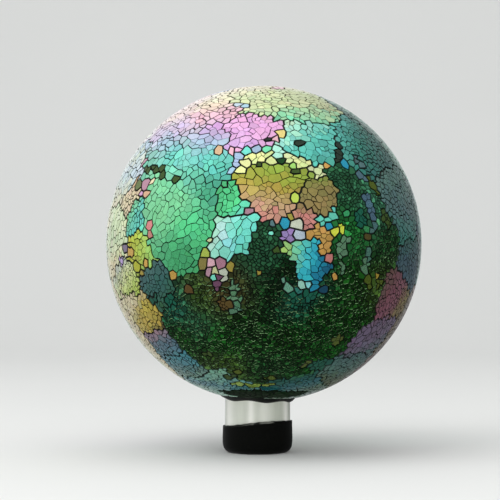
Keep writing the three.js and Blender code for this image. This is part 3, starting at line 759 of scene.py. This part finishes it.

# %% [markdown]
# ## Cracks and polished edges
#
# Each fragment's top is inset and raised, which leaves a narrow crack round it. A second, flatter inset gives
# the fragment its soft edge. Some cracks opened wider than others, most of all on the flanks. The dark sheets
# are of cast splinters with broader edges: the larger the splinter, the broader. The lower one of these edges
# takes a painted highlight, which draws the short bright strokes of the dark part.

# %% Cracks
PLAIN_EDGE = 0.12
mesh = mosaic.data
middle, normal = face_rows(mesh)
outward = (middle * normal).sum(1) / np.linalg.norm(middle, axis=1)
top = (outward > 0.5) & (np.linalg.norm(middle, axis=1) > base_radius - 0.2 * MM)
fine = face_column(mesh, "fine") > 0
crack_width = np.where(fine, random_row.choice([0.07, 0.16], len(top)),
                       random_row.choice([0.06, 0.13, 0.26], len(top), p=[0.35, 0.4, 0.25]))
flank = (middle[:, 1] < 0) & (middle[:, 1] > -0.68 * BALL_RADIUS) & ~fine
wide = random_row.choice([0.16, 0.34, 0.55], len(top), p=[0.4, 0.35, 0.25])
crack_width = np.where(top, np.where(flank, wide, crack_width), 0)
face_values(mesh, "crack", crack_width.astype(np.float32))


def inset_and_raise(width, depth, stage, stray=0.0):
    mesh = mosaic.data
    pick_faces(mosaic, np.isclose(face_column(mesh, "crack"), width) & (face_column(mesh, "raised") == stage))
    edit(mosaic)
    bpy.ops.mesh.inset(thickness=width * MM, depth=depth, use_individual=True, use_even_offset=False)
    if stray:
        bpy.ops.transform.vertex_random(offset=stray * MM, uniform=0, normal=1, seed=5)
    done()
    raised = face_column(mosaic.data, "raised")
    raised[column(mosaic.data.polygons, "select", bool)] = stage + 1
    face_values(mosaic.data, "raised", raised)


for width in np.unique(crack_width[top]):
    inset_and_raise(width, CRACK_DEPTH, 0)
mesh = mosaic.data
across = np.sqrt(column(mesh.polygons, "area")) / MM
edge_width = np.select([across < 1.2, across < 1.7, across < 2.3], [0.15, 0.26, 0.38], 0.48)
edge_width = np.where(face_column(mesh, "fine") > 0, edge_width, PLAIN_EDGE)
edge_width = np.where(face_column(mesh, "raised") == 1, edge_width, 0)
face_values(mesh, "crack", edge_width.astype(np.float32))
for width in np.unique(edge_width[edge_width > 0]):
    inset_and_raise(width, CHAMFER_DEPTH, 1, 0.05 if width == PLAIN_EDGE else 0.1)

mesh = mosaic.data
middle, normal = face_rows(mesh)
facing = middle / np.linalg.norm(middle, axis=1, keepdims=True)
leaning = normal - facing * (normal * facing).sum(1, keepdims=True)
leaning /= np.maximum(np.linalg.norm(leaning, axis=1, keepdims=True), 1e-9)
tilt = np.radians(dark_lean(facing))[:, None]
right = rightward(facing)
down = right * np.sin(tilt) - np.cross(facing, right) * np.cos(tilt)
# Only the lower edge of a dark splinter keeps its painted highlight.
lower = np.clip(((leaning * down).sum(1) - 0.45) / 0.35, 0, 1)
face_values(mesh, "glint", (face_column(mesh, "glint") * lower).astype(np.float32))
edit(mosaic, "VERT", "SELECT")
bpy.ops.transform.translate(value=(0, 0, BALL_HEIGHT))
done()
report(mosaic)

# %% [markdown]
# ## One piece for each sheet
#
# The mosaic is parted by sheet, so that every CAD sheet has its own dressed piece. All of them ride on the globe.

# %% Parting the sheets
edit(mosaic, "FACE", "SELECT")
bpy.ops.mesh.separate(type="MATERIAL")
done()
sheets = {}
for piece in list(bpy.context.selected_objects):
    material = piece.material_slots[piece.data.polygons[0].material_index].material
    sheets[material.name] = piece
assert set(sheets) == set(nodes), set(nodes) ^ set(sheets)
for name, piece in sheets.items():
    piece.name = name + "_crackle"
    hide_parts(name)
    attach(piece, "globe")
print(len(sheets), "sheets, the largest:", max(len(piece.data.polygons) for piece in sheets.values()), "faces")

# %% [markdown]
# ## The grout
#
# Dark grout fills the joints between the sheets. It is a thin shell just under them, open at the neck.

# %% Grout
bpy.ops.mesh.primitive_uv_sphere_add(segments=160, ring_count=80, radius=GROUT_RADIUS,
                                     location=(0, 0, BALL_HEIGHT))
grout = bpy.context.object
grout.name = "grout_bed"
bpy.ops.object.transform_apply(location=True)
open_round_neck(grout, GROUT_RADIUS, BALL_HEIGHT)
only(grout)
bpy.ops.object.shade_smooth()
modify(grout, "SOLIDIFY", thickness=2.1 * MM, offset=-1)
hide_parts("grout_coat")
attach(grout, "globe")
report(grout)

# %% [markdown]
# ## Turning round the neck's axis
#
# Neck, sealant and cap are round. Each starts as a circle that is extruded and scaled ring by ring, as a potter
# pulls up a wall. The last ring is bridged to the first, or the ends are filled.

# %% Turning
def turned(name, rings, filled, around=144):
    radius, height = rings[0]
    bpy.ops.mesh.primitive_circle_add(vertices=around, radius=radius, location=(NECK_X, 0, height))
    piece = bpy.context.object
    piece.name = name
    bpy.ops.object.transform_apply(location=True)
    edit(piece, "EDGE", "SELECT")
    if filled:
        bpy.ops.mesh.edge_face_add()
    for next_radius, next_height in rings[1:]:
        edit_step = (0, 0, next_height - height)
        if filled and bpy.context.object.data.total_face_sel:
            bpy.ops.mesh.extrude_region_move(TRANSFORM_OT_translate={"value": edit_step})
        else:
            bpy.ops.mesh.extrude_edges_move(TRANSFORM_OT_translate={"value": edit_step})
        scale = next_radius / radius
        bpy.ops.transform.resize(value=(scale, scale, 1), center_override=(NECK_X, 0, next_height))
        radius, height = next_radius, next_height
    if not filled:
        bpy.ops.mesh.select_all(action="DESELECT")
        bpy.ops.mesh.select_non_manifold()
        bpy.ops.mesh.bridge_edge_loops()
    bpy.ops.mesh.select_all(action="SELECT")
    bpy.ops.mesh.normals_make_consistent(inside=False)
    done()
    bpy.ops.object.shade_smooth_by_angle(angle=math.radians(40))
    return piece


def arc(radius, height, reach, start, stop, count):
    turns = np.radians(np.linspace(start, stop, count))
    return [(radius + reach * math.cos(turn), height + reach * math.sin(turn)) for turn in turns]


def around_neck(points):
    return np.arctan2(points[:, 0] - NECK_X, -points[:, 1])


def reshape(piece, change):
    mesh = piece.data
    mesh.vertices.foreach_set("co", change(column(mesh.vertices, "co", wide=3)).ravel())
    mesh.update()


# %% [markdown]
# ## The neck
#
# The neck is blown in one with the globe, and silvered inside. Its end is fire-polished round. The wall swells a
# little towards the ball, and the tool left faint flutes in it. The upright streaks of light along them are
# painted highlights in the neck's finish.

# %% Neck
neck_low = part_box("glass_neck")[0].z
end_round = NECK_WALL / 2
rings = arc(NECK_RADIUS - end_round, neck_low + end_round, end_round, -90, 0, 7)
rings += [(NECK_RADIUS, z * MM) for z in (8, 14, 20, 26, 30, 34, 38, 42, 46, 50, 54)]
rings += [(NECK_RADIUS - NECK_WALL, z * MM) for z in (54, 44, 34, 24, 14)]
rings += arc(NECK_RADIUS - end_round, neck_low + end_round, end_round, 180, 260, 6)
neck = turned("silvered_neck", rings, False)


def flutes(spots):
    turn = around_neck(spots)
    lift = np.clip((spots[:, 2] - 26 * MM) / (20 * MM), 0, 1)
    flute = 0.10 * np.sin(5 * turn + 0.6) + 0.05 * np.sin(11 * turn + 2) + 0.03 * np.sin(19 * turn)
    swell = 1 + (flute * lift - 0.12 * lift) * MM / NECK_RADIUS
    spots[:, 0] = NECK_X + (spots[:, 0] - NECK_X) * swell
    spots[:, 1] *= swell
    return spots


reshape(neck, flutes)
cad_neck_top = BALL_RADIUS - 3.4 * MM
bpy.ops.mesh.primitive_uv_sphere_add(segments=192, ring_count=96, radius=cad_neck_top,
                                     location=(0, 0, BALL_HEIGHT))
cutter = bpy.context.object
modify(neck, "BOOLEAN", operation="DIFFERENCE", object=cutter, solver="EXACT")
bpy.data.objects.remove(cutter)
only(neck)
bpy.ops.object.shade_smooth_by_angle(angle=math.radians(40))
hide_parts("glass_neck")
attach(neck, "globe")
report(neck)

# %% [markdown]
# ## The sealant
#
# A bead of black sealant closes the corner between mosaic and neck. It was smoothed with a finger, so its
# lower edge wanders a little up and down the neck.

# %% Sealant
def ball_skin(radius_out, azimuth, ball=GROUT_RADIUS - 0.35 * MM):
    x = NECK_X + radius_out * np.sin(azimuth)
    y = -radius_out * np.cos(azimuth)
    return BALL_HEIGHT - np.sqrt(ball ** 2 - x ** 2 - y ** 2)


bead_in = NECK_RADIUS + 0.3 * MM
bead_out = SEALANT_RADIUS
rings = [(bead_in, 0.0), (bead_in + 0.5 * MM, -0.001), (bead_in + 1.6 * MM, -0.0012),
         (bead_in + 3.2 * MM, -0.0012), (bead_out - 0.6 * MM, -0.001), (bead_out, -0.0004),
         (bead_out + 0.001 * MM, 0.0009), (bead_out - 1.5 * MM, 0.001), (bead_in + 1.5 * MM, 0.001),
         (bead_in + 0.001 * MM, 0.001)]
sealant = turned("sealant_bead", rings, False)


def bead(spots):
    turn = around_neck(spots)
    out = np.hypot(spots[:, 0] - NECK_X, spots[:, 1])
    share = (out - bead_in) / (bead_out - bead_in)
    upper = spots[:, 2] > 0.0008
    low_edge = -2.1 - 0.7 * np.sin(5 * turn + np.sin(turn))
    sag = low_edge * (1 - share) + 0.2 * share - 0.9 * np.sin(math.pi * np.clip(share, 0, 1)) ** 0.8
    skin = ball_skin(out, turn)
    spots[:, 2] = np.where(upper, skin - 0.05 * MM, skin + (sag - 1.1 * (1 - share)) * MM)
    return spots


reshape(sealant, bead)
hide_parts("sealant_collar")
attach(sealant, "globe")
report(sealant)
heights = column(sealant.data.vertices, "co", wide=3)[:, 2] / MM
print("bead from", round(heights.min(), 2), "to", round(heights.max(), 2), "mm")

# %% [markdown]
# ## The rubber cap
#
# The cap is dip moulded: it is stretched over the neck's end, and its rim was cut by hand, which left it
# higher on one side and a little wavy. The foot is rounded, as the mould was.

# %% Cap
cap_out = 28.0 * MM
cap_in = 26.7 * MM
corner = 6.0 * MM
corner_height = 7.0 * MM
rim = 23.5 * MM
lip = (cap_out - cap_in) / 2
rings = [(0.4 * MM, 0.25 * MM), (8 * MM, 0.2 * MM), (16 * MM, 0.15 * MM), (cap_out - corner - 2 * MM, 0.0)]
foot = arc(0, 1, 1, -90, 0, 11)
rings += [(cap_out - corner + corner * across, corner_height * up) for across, up in foot]
rings += [(cap_out + 0.25 * MM * math.sin(math.pi * z / 20), z * MM) for z in (9, 12, 15, 18)]
rings += [(cap_out, rim - 1.7 * MM), (cap_out, rim - 1.3 * MM)] + arc(cap_out - lip, rim - lip, lip, 0, 180, 9)
rings += [(cap_in, z * MM) for z in (18, 12, 6, 4.4)]
rings += [(cap_in - 0.3 * MM, 3.3 * MM), (cap_in - 0.9 * MM, 2.5 * MM), (cap_in - 1.9 * MM, 2.05 * MM)]
rings += [(cap_in - 5 * MM, 2 * MM), (10 * MM, 2 * MM), (0.4 * MM, 2 * MM)]
cap = turned("rubber_cap", rings, True)


def cut_rim(spots):
    turn = around_neck(spots)
    slant = 3.2 * np.cos(turn - math.radians(45)) + 0.4 * np.sin(3 * turn + 1)
    nick = 0.12 * np.sin(17 * turn) + 0.10 * np.sin(29 * turn + 1)
    weight = np.clip((spots[:, 2] - 6 * MM) / (rim - 7 * MM), 0, 1)
    spots[:, 2] += (slant * weight + nick * np.clip(weight * 6 - 5, 0, 1)) * MM
    return spots


cap_mesh = cap.data
# The lip gets a painted highlight: full in two stretches across the front, faint elsewhere.
lip_highlight = np.zeros(len(cap_mesh.vertices), np.float32)
for vertex in cap_mesh.vertices:
    share = (vertex.co.x - NECK_X) / cap_out / 2 + 0.5
    if vertex.co.z > rim - 1.4 * MM:
        lip_highlight[vertex.index] = 1 if 0.27 < share < 0.44 or 0.54 < share < 0.88 else 0.12
mark = cap_mesh.attributes.new("lip", "FLOAT", "POINT")
mark.data.foreach_set("value", lip_highlight)
reshape(cap, cut_rim)
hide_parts("neck_cap")
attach(cap, "cap")
report(cap)

# %% [markdown]
# ## Helpers for the finishes
#
# Each effect is a node group with named inputs and outputs, so that a material only says what differs.

# %% Node helpers
def group(name, inputs, outputs):
    tree = bpy.data.node_groups.new(name, "ShaderNodeTree")
    for label, kind, value in inputs:
        socket = tree.interface.new_socket(label, in_out="INPUT", socket_type="NodeSocket" + kind)
        socket.default_value = value
    for label, kind in outputs:
        tree.interface.new_socket(label, in_out="OUTPUT", socket_type="NodeSocket" + kind)
    return tree, tree.nodes.new("NodeGroupInput").outputs, tree.nodes.new("NodeGroupOutput").inputs


def node(tree, kind, links=(), **settings):
    made = tree.nodes.new("ShaderNode" + kind)
    for name, value in settings.items():
        setattr(made, name, value)
    for socket, source in dict(links).items():
        if hasattr(source, "is_output"):
            tree.links.new(source, made.inputs[socket])
        else:
            made.inputs[socket].default_value = source
    return made


def mixed(tree, factor, first, second, blend="MIX"):
    mix = node(tree, "Mix", data_type="RGBA", blend_type=blend)
    for index, source in ((0, factor), (6, first), (7, second)):
        if hasattr(source, "is_output"):
            tree.links.new(source, mix.inputs[index])
        else:
            mix.inputs[index].default_value = source
    return mix.outputs[2]


def maths(tree, operation, first, second=0.0, third=0.0, clamp=False):
    step = node(tree, "Math", {0: first, 1: second, 2: third}, operation=operation, use_clamp=clamp)
    return step.outputs[0]


def finish(name, tree, attributes=(), values=(), feeds=(), plain=()):
    material = bpy.data.materials.new(name)
    material.use_nodes = True
    inner = material.node_tree
    shader = inner.nodes["Principled BSDF"]
    effect = inner.nodes.new("ShaderNodeGroup")
    effect.node_tree = tree
    for inputs, numbers in ((effect.inputs, values), (shader.inputs, plain)):
        for label, value in dict(numbers).items():
            inputs[label].default_value = value
    for label, attribute, output in attributes:
        reader = node(inner, "Attribute", attribute_name=attribute)
        inner.links.new(reader.outputs[output], effect.inputs[label])
    for label, socket in feeds:
        inner.links.new(effect.outputs[label], shader.inputs[socket])
    return material


# %% [markdown]
# ## The crackle film
#
# The film is a mirror of metal oxide behind glass. It is part metal, part glass, so it takes its light from
# the sky, and where the ball turns away its coat turns pale. Dark films have little gloss.
# The sides of a fragment are raw glass over dark grout, and at the sides of the cracks nearly no light comes
# back: their near black is partly the grout and partly painted shade. A fragment's edges are painted darker than
# its top as shade, most of all in the dim films. The lower edges of the dark splinters take a painted highlight.

# %% Crackle film
tree, enter, leave = group(
    "Crackle film",
    [("Film", "Color", (0.2, 0.6, 0.4, 1)), ("Raised", "Float", 2), ("Glint", "Float", 0),
     ("Mottle", "Float", 0.3), ("Roughness", "Float", 0.24), ("Gloss", "Float", 0.5)],
    [("Base Color", "Color"), ("Roughness", "Float"), ("Metallic", "Float"), ("Coat Weight", "Float")])
# The first colour is for crack walls: the grout's dark with painted shade. The second is a painted highlight.
BED_AND_SHADE = (0.003, 0.005, 0.003, 1)
GLINT = (0.29, 0.55, 0.24, 1)
spot = node(tree, "TexCoord").outputs["Object"]
grain = node(tree, "TexNoise", {"Vector": spot, "Scale": 420, "Detail": 3})
fine_grain = node(tree, "TexNoise", {"Vector": spot, "Scale": 1500, "Detail": 2})
mottle = node(tree, "MapRange", {"Value": grain.outputs["Fac"], "From Min": 0.3, "From Max": 0.7,
                                 "To Min": 0.72, "To Max": 1.18})
strength = mixed(tree, enter["Mottle"], (1, 1, 1, 1), mottle.outputs[0])
coloured = mixed(tree, 1.0, enter["Film"], strength, "MULTIPLY")
is_top = maths(tree, "GREATER_THAN", enter["Raised"], 1.5)
is_edge = maths(tree, "GREATER_THAN", enter["Raised"], 0.5)
groove = mixed(tree, 0.13, BED_AND_SHADE, coloured)
patch = node(tree, "TexNoise", {"Vector": spot, "Scale": 560, "Detail": 1})
caught = node(tree, "MapRange", {"Value": patch.outputs["Fac"], "From Min": 0.4, "From Max": 0.54})
glint = maths(tree, "MULTIPLY", enter["Glint"], caught.outputs[0])
grey = node(tree, "RGBToBW", {"Color": enter["Film"]})
dim = maths(tree, "SUBTRACT", 1.0, maths(tree, "MULTIPLY", grey.outputs[0], 2.2, clamp=True))
# Painted shade: a fragment's edges darken towards the crack walls' colour, most in dim films.
shadow = maths(tree, "ADD", 0.12, maths(tree, "MULTIPLY", dim, 0.8))
edge = mixed(tree, glint, mixed(tree, shadow, coloured, groove), GLINT)
sides = mixed(tree, is_edge, groove, edge)
tree.links.new(mixed(tree, is_top, sides, coloured), leave["Base Color"])
bright = maths(tree, "MULTIPLY", grey.outputs[0], 7.0, clamp=True)
dark_dullness = maths(tree, "MULTIPLY", maths(tree, "SUBTRACT", 1.0, bright), enter["Gloss"])
rough = node(tree, "MapRange", {"Value": fine_grain.outputs["Fac"], "To Min": -0.05, "To Max": 0.07})
rough = maths(tree, "ADD", maths(tree, "MULTIPLY", dark_dullness, 1.4), rough.outputs[0])
tree.links.new(maths(tree, "ADD", enter["Roughness"], rough, clamp=True), leave["Roughness"])
tree.links.new(maths(tree, "MULTIPLY", maths(tree, "MULTIPLY", is_edge, bright), 0.65), leave["Metallic"])
tree.links.new(maths(tree, "MULTIPLY", bright, enter["Gloss"]), leave["Coat Weight"])

SMOOTH = {"mint": 0.22, "turquoise": 0.22, "cyan": 0.2, "blue": 0.2, "dark_green": 0.26}
film_materials = {}
for slot_name in sorted({slot_of[name] for name in nodes}):
    film_materials[slot_name] = finish(
        slot_name + "_film", tree,
        [("Film", "film", "Color"), ("Raised", "raised", "Fac"), ("Glint", "glint", "Fac")],
        {"Roughness": SMOOTH.get(slot_name, 0.24), "Gloss": 0.0 if slot_name == "dark_green" else 0.5},
        [(label, label) for label in ("Base Color", "Roughness", "Metallic", "Coat Weight")],
        {"Specular IOR Level": 0.05 if slot_name == "dark_green" else 0.12, "Coat Roughness": 0.1})
for name, piece in sheets.items():
    piece.data.materials.clear()
    piece.data.materials.append(film_materials[slot_of[name]])
    piece.data.polygons.foreach_set("material_index", np.zeros(len(piece.data.polygons), np.int32))
print(len(film_materials), "films")

# %% [markdown]
# ## Grout, sealant and rubber
#
# All three are dark and dull. Grout is sandy, sealant is smoother and a little greasy, and rubber has a faint
# bloom. The cap's cut lip has a painted highlight in two stretches across its front.

# %% Dark materials
tree, enter, leave = group(
    "Dull dark stuff",
    [("Color", "Color", (0.01, 0.01, 0.01, 1)), ("Bloom", "Color", (0.03, 0.03, 0.03, 1)),
     ("Scale", "Float", 300), ("Roughness", "Float", 0.6), ("Lip", "Float", 0)],
    [("Base Color", "Color"), ("Roughness", "Float"), ("Height", "Float")])
spot = node(tree, "TexCoord").outputs["Object"]
grain = node(tree, "TexNoise", {"Vector": spot, "Scale": enter["Scale"], "Detail": 5})
broad = node(tree, "TexNoise", {"Vector": spot, "Scale": 60, "Detail": 3})
bloom_and_highlight = maths(tree, "MULTIPLY", grain.outputs["Fac"], 0.02)
highlight_patches = node(tree, "MapRange", {"Value": broad.outputs["Fac"], "From Min": 0.46, "From Max": 0.6})
# The lip's painted highlight, broken into patches, added to the faint bloom.
lit = maths(tree, "MULTIPLY", enter["Lip"], highlight_patches.outputs[0])
lit = maths(tree, "ADD", bloom_and_highlight, lit, clamp=True)
tree.links.new(mixed(tree, lit, enter["Color"], enter["Bloom"]), leave["Base Color"])
rough = node(tree, "MapRange", {"Value": broad.outputs["Fac"], "To Min": -0.08, "To Max": 0.12})
tree.links.new(maths(tree, "ADD", enter["Roughness"], rough.outputs[0]), leave["Roughness"])
tree.links.new(grain.outputs["Fac"], leave["Height"])


def dull(piece, name, colour, bloom_and_highlight, scale, roughness, bump, depth, specular, lip=False):
    material = finish(
        name, tree, [("Lip", "lip", "Fac")] if lip else [],
        {"Color": (*colour, 1), "Bloom": (*bloom_and_highlight, 1), "Scale": scale, "Roughness": roughness},
        [("Base Color", "Base Color"), ("Roughness", "Roughness")], {"Specular IOR Level": specular})
    inner = material.node_tree
    relief = node(inner, "Bump", {"Strength": bump, "Distance": depth})
    effect = next(made for made in inner.nodes if made.type == "GROUP")
    inner.links.new(effect.outputs["Height"], relief.inputs["Height"])
    inner.links.new(relief.outputs["Normal"], inner.nodes["Principled BSDF"].inputs["Normal"])
    piece.data.materials.append(material)


dull(grout, "grout", (0.006, 0.008, 0.005), (0.02, 0.024, 0.016), 900, 0.75, 0.5, 0.2 * MM, 0.5)
dull(sealant, "sealant", (0.002, 0.003, 0.002), (0.012, 0.016, 0.012), 240, 0.45, 0.4, 0.2 * MM, 0.2)
# The cap's pale colour is both its faint bloom and the painted highlight of its lip.
dull(cap, "rubber", (0.001, 0.0013, 0.0008), (0.14, 0.145, 0.125), 500, 0.5, 0.2, 0.1 * MM, 0.06, lip=True)

# %% [markdown]
# ## Silvered glass
#
# The silver lies behind two millimetres of greenish glass. The upright streaks of light that the neck's flutes
# gather are painted into its colour as highlights. Each row of the table below is one painted streak: its angle
# round the neck, its breadth and its strength.

# %% Silvered glass
HIGHLIGHT_STREAKS = table("""
    -60 14 1, -30 20 0.25, -11 6 0.85, 13 13 0.5, 60 8 1, 110 10 0.8, 140 35 0.4, 165 7 0.7
    -145 12 0.5, -140 35 0.4, -98 8 0.8
""")
tree, enter, leave = group(
    "Silvered glass",
    [("Silver", "Color", (0.62, 0.65, 0.55, 1)), ("Streak", "Color", (1.0, 1.0, 0.92, 1)),
     ("Streaks", "Float", 1.0), ("Roughness", "Float", 0.3)],
    [("Base Color", "Color"), ("Roughness", "Float")])
spot = node(tree, "TexCoord").outputs["Object"]
axes = node(tree, "SeparateXYZ", {0: spot})
from_axis = maths(tree, "SUBTRACT", axes.outputs["X"], NECK_X)
toward = maths(tree, "MULTIPLY", axes.outputs["Y"], -1.0)
turn = maths(tree, "ARCTAN2", from_axis, toward)
# The painted highlight streaks, summed, mix the silver towards near white.
total = None
for angle, breadth, weight in HIGHLIGHT_STREAKS:
    away = maths(tree, "SUBTRACT", turn, math.radians(angle))
    away = maths(tree, "DIVIDE", away, math.radians(breadth))
    away = maths(tree, "MULTIPLY", away, away)
    away = maths(tree, "MULTIPLY", maths(tree, "EXPONENT", maths(tree, "MULTIPLY", away, -1.0)), weight)
    total = away if total is None else maths(tree, "ADD", total, away, clamp=True)
total = maths(tree, "MULTIPLY", total, enter["Streaks"])
squeezed = node(tree, "Mapping", {"Vector": spot, "Scale": (1, 1, 0.12)})
drawn = node(tree, "TexNoise", {"Vector": squeezed.outputs[0], "Scale": 260, "Detail": 3})
cloud = node(tree, "MapRange", {"Value": drawn.outputs["Fac"], "From Min": 0.3, "From Max": 0.7,
                                "To Min": 0.9, "To Max": 1.06})
body = mixed(tree, 1.0, enter["Silver"], cloud.outputs[0], "MULTIPLY")
tree.links.new(mixed(tree, total, body, enter["Streak"]), leave["Base Color"])
rough = node(tree, "MapRange", {"Value": drawn.outputs["Fac"], "To Min": -0.05, "To Max": 0.08})
tree.links.new(maths(tree, "ADD", enter["Roughness"], rough.outputs[0]), leave["Roughness"])
feeds = [("Base Color", "Base Color"), ("Roughness", "Roughness")]
neck.data.materials.append(finish(
    "silvered_neck_glass", tree, feeds=feeds,
    plain={"Metallic": 0.15, "Coat Weight": 0.5, "Coat Roughness": 0.05}))
globe = frame["nodes"]["glass_globe"]
globe.data.materials.clear()
globe.data.materials.append(finish(
    "silvered_globe_glass", tree, values={"Streaks": 0.0, "Roughness": 0.12}, feeds=feeds,
    plain={"Metallic": 0.9}))

# %% [markdown]
# ## The stage
#
# A plain pale sweep: a floor that curves up into a wall. It is not part of the object.

# %% Stage
bpy.ops.mesh.primitive_plane_add(size=1, location=(0, -1.5, 0))
sweep = bpy.context.object
sweep.name = "studio_sweep"
bpy.ops.transform.resize(value=(10, 9, 1))
bpy.ops.object.transform_apply(location=True, scale=True)
edit(sweep, "EDGE", "DESELECT")
done()
for far_edge in sweep.data.edges:
    ends = [sweep.data.vertices[corner].co.y for corner in far_edge.vertices]
    far_edge.select = min(ends) > 2.9
edit(sweep, "EDGE")
bpy.ops.mesh.extrude_edges_move(TRANSFORM_OT_translate={"value": (0, 0, 4)})
done()
modify(sweep, "BEVEL", width=1.4, segments=16, limit_method="ANGLE")
only(sweep)
bpy.ops.object.shade_smooth()
tree, enter, leave = group("Pale paper", [("Tone", "Color", (0.8, 0.8, 0.78, 1))], [("Base Color", "Color")])
spot = node(tree, "TexCoord").outputs["Object"]
fibre = node(tree, "TexNoise", {"Vector": spot, "Scale": 3, "Detail": 2})
faint = node(tree, "MapRange", {"Value": fibre.outputs["Fac"], "To Min": 0.99, "To Max": 1.01})
tree.links.new(mixed(tree, 1.0, enter["Tone"], faint.outputs[0], "MULTIPLY"), leave["Base Color"])
sweep.data.materials.append(finish(
    "pale_paper", tree, feeds=[("Base Color", "Base Color")],
    plain={"Roughness": 0.9, "Specular IOR Level": 0.1}))
sweep.visible_glossy = False

# %% [markdown]
# ## The light
#
# Soft daylight comes from a pale sky. A glass ball mirrors all that is round it, so what it mirrors is set
# apart from what lights it: a sky that is bright above and to the left, and dim below, as in a garden.

# %% Sky
world = bpy.data.worlds.new("studio_sky")
bpy.context.scene.world = world
world.use_nodes = True
sky = world.node_tree
sky.nodes.clear()
axes = node(sky, "SeparateXYZ", {0: node(sky, "TexCoord").outputs["Generated"]})
rise = node(sky, "MapRange", {"Value": axes.outputs["Z"], "From Min": -0.35, "From Max": 0.75,
                              "To Min": 0.46, "To Max": 1.2}, interpolation_type="SMOOTHSTEP")
ahead = maths(sky, "SUBTRACT", 1.15, axes.outputs["Y"])
sideways = maths(sky, "DIVIDE", axes.outputs["X"], ahead)
side = node(sky, "MapRange", {"Value": sideways, "From Min": -0.7, "From Max": 1.0,
                              "To Min": 0.98, "To Max": 0.36}, interpolation_type="SMOOTHSTEP")
behind = node(sky, "MapRange", {"Value": axes.outputs["Y"], "From Min": 0.86, "From Max": 1.0,
                                "To Min": 0.0, "To Max": 0.6})
mirrored = maths(sky, "MULTIPLY", rise.outputs[0], maths(sky, "ADD", side.outputs[0], behind.outputs[0]))
rays = node(sky, "LightPath")
level = node(sky, "Mix", data_type="FLOAT")
level.inputs[2].default_value = 0.75
sky.links.new(rays.outputs["Is Glossy Ray"], level.inputs[0])
sky.links.new(mirrored, level.inputs[3])
shown = node(sky, "Mix", data_type="FLOAT")
shown.inputs[3].default_value = 0.85
sky.links.new(rays.outputs["Is Camera Ray"], shown.inputs[0])
sky.links.new(level.outputs[0], shown.inputs[2])
backdrop = node(sky, "Background", {"Color": (0.96, 0.98, 1.0, 1), "Strength": shown.outputs[0]})
node(sky, "OutputWorld", {"Surface": backdrop.outputs[0]})

# %% [markdown]
# ## The lamps
#
# Three wide lamps model the ball: the key from the upper left, a softer one from above, and a low one in front
# that lifts the neck out of the ball's shadow. The glass doesn't mirror them, so they leave no square spots.

# %% Lamps
def lamp(name, azimuth, elevation, distance, size, power):
    light = bpy.data.lights.new(name, "AREA")
    light.size = size
    light.energy = power
    holder = bpy.data.objects.new(name, light)
    bpy.context.collection.objects.link(holder)
    way = Vector(place(azimuth, elevation))
    holder.location = way * distance + Vector((0, 0, 0.15))
    holder.rotation_euler = way.to_track_quat("Z", "Y").to_euler()
    holder.visible_glossy = False


lamp("key", -50, 48, 2.2, 1.6, 16)
lamp("top", 20, 80, 2.2, 1.8, 10)
lamp("fill", 5, 3, 2.0, 1.2, 13)

# %% [markdown]
# ## The camera
#
# It stands where the photographer stood: level, a little below the ball's middle, at a long focal length.

# %% Camera
camera_data = bpy.data.cameras.new("camera")
camera = bpy.data.objects.new("camera", camera_data)
bpy.context.collection.objects.link(camera)
camera.location = (0, -1.408, 0.146)
camera.rotation_euler = (math.radians(90), 0, 0)
camera_data.sensor_width = 36
camera_data.lens = 125.5
camera_data.shift_x = -0.0274
camera_data.shift_y = 0.042
scene = bpy.context.scene
scene.camera = camera
scene.render.engine = "CYCLES"
scene.render.resolution_x = 500
scene.render.resolution_y = 500
scene.view_settings.view_transform = "Standard"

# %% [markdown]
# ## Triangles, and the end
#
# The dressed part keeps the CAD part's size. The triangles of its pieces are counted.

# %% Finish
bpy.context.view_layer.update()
total = sum(report(piece) for piece in [*sheets.values(), grout, neck, sealant, cap])
print("triangles in all:", total)
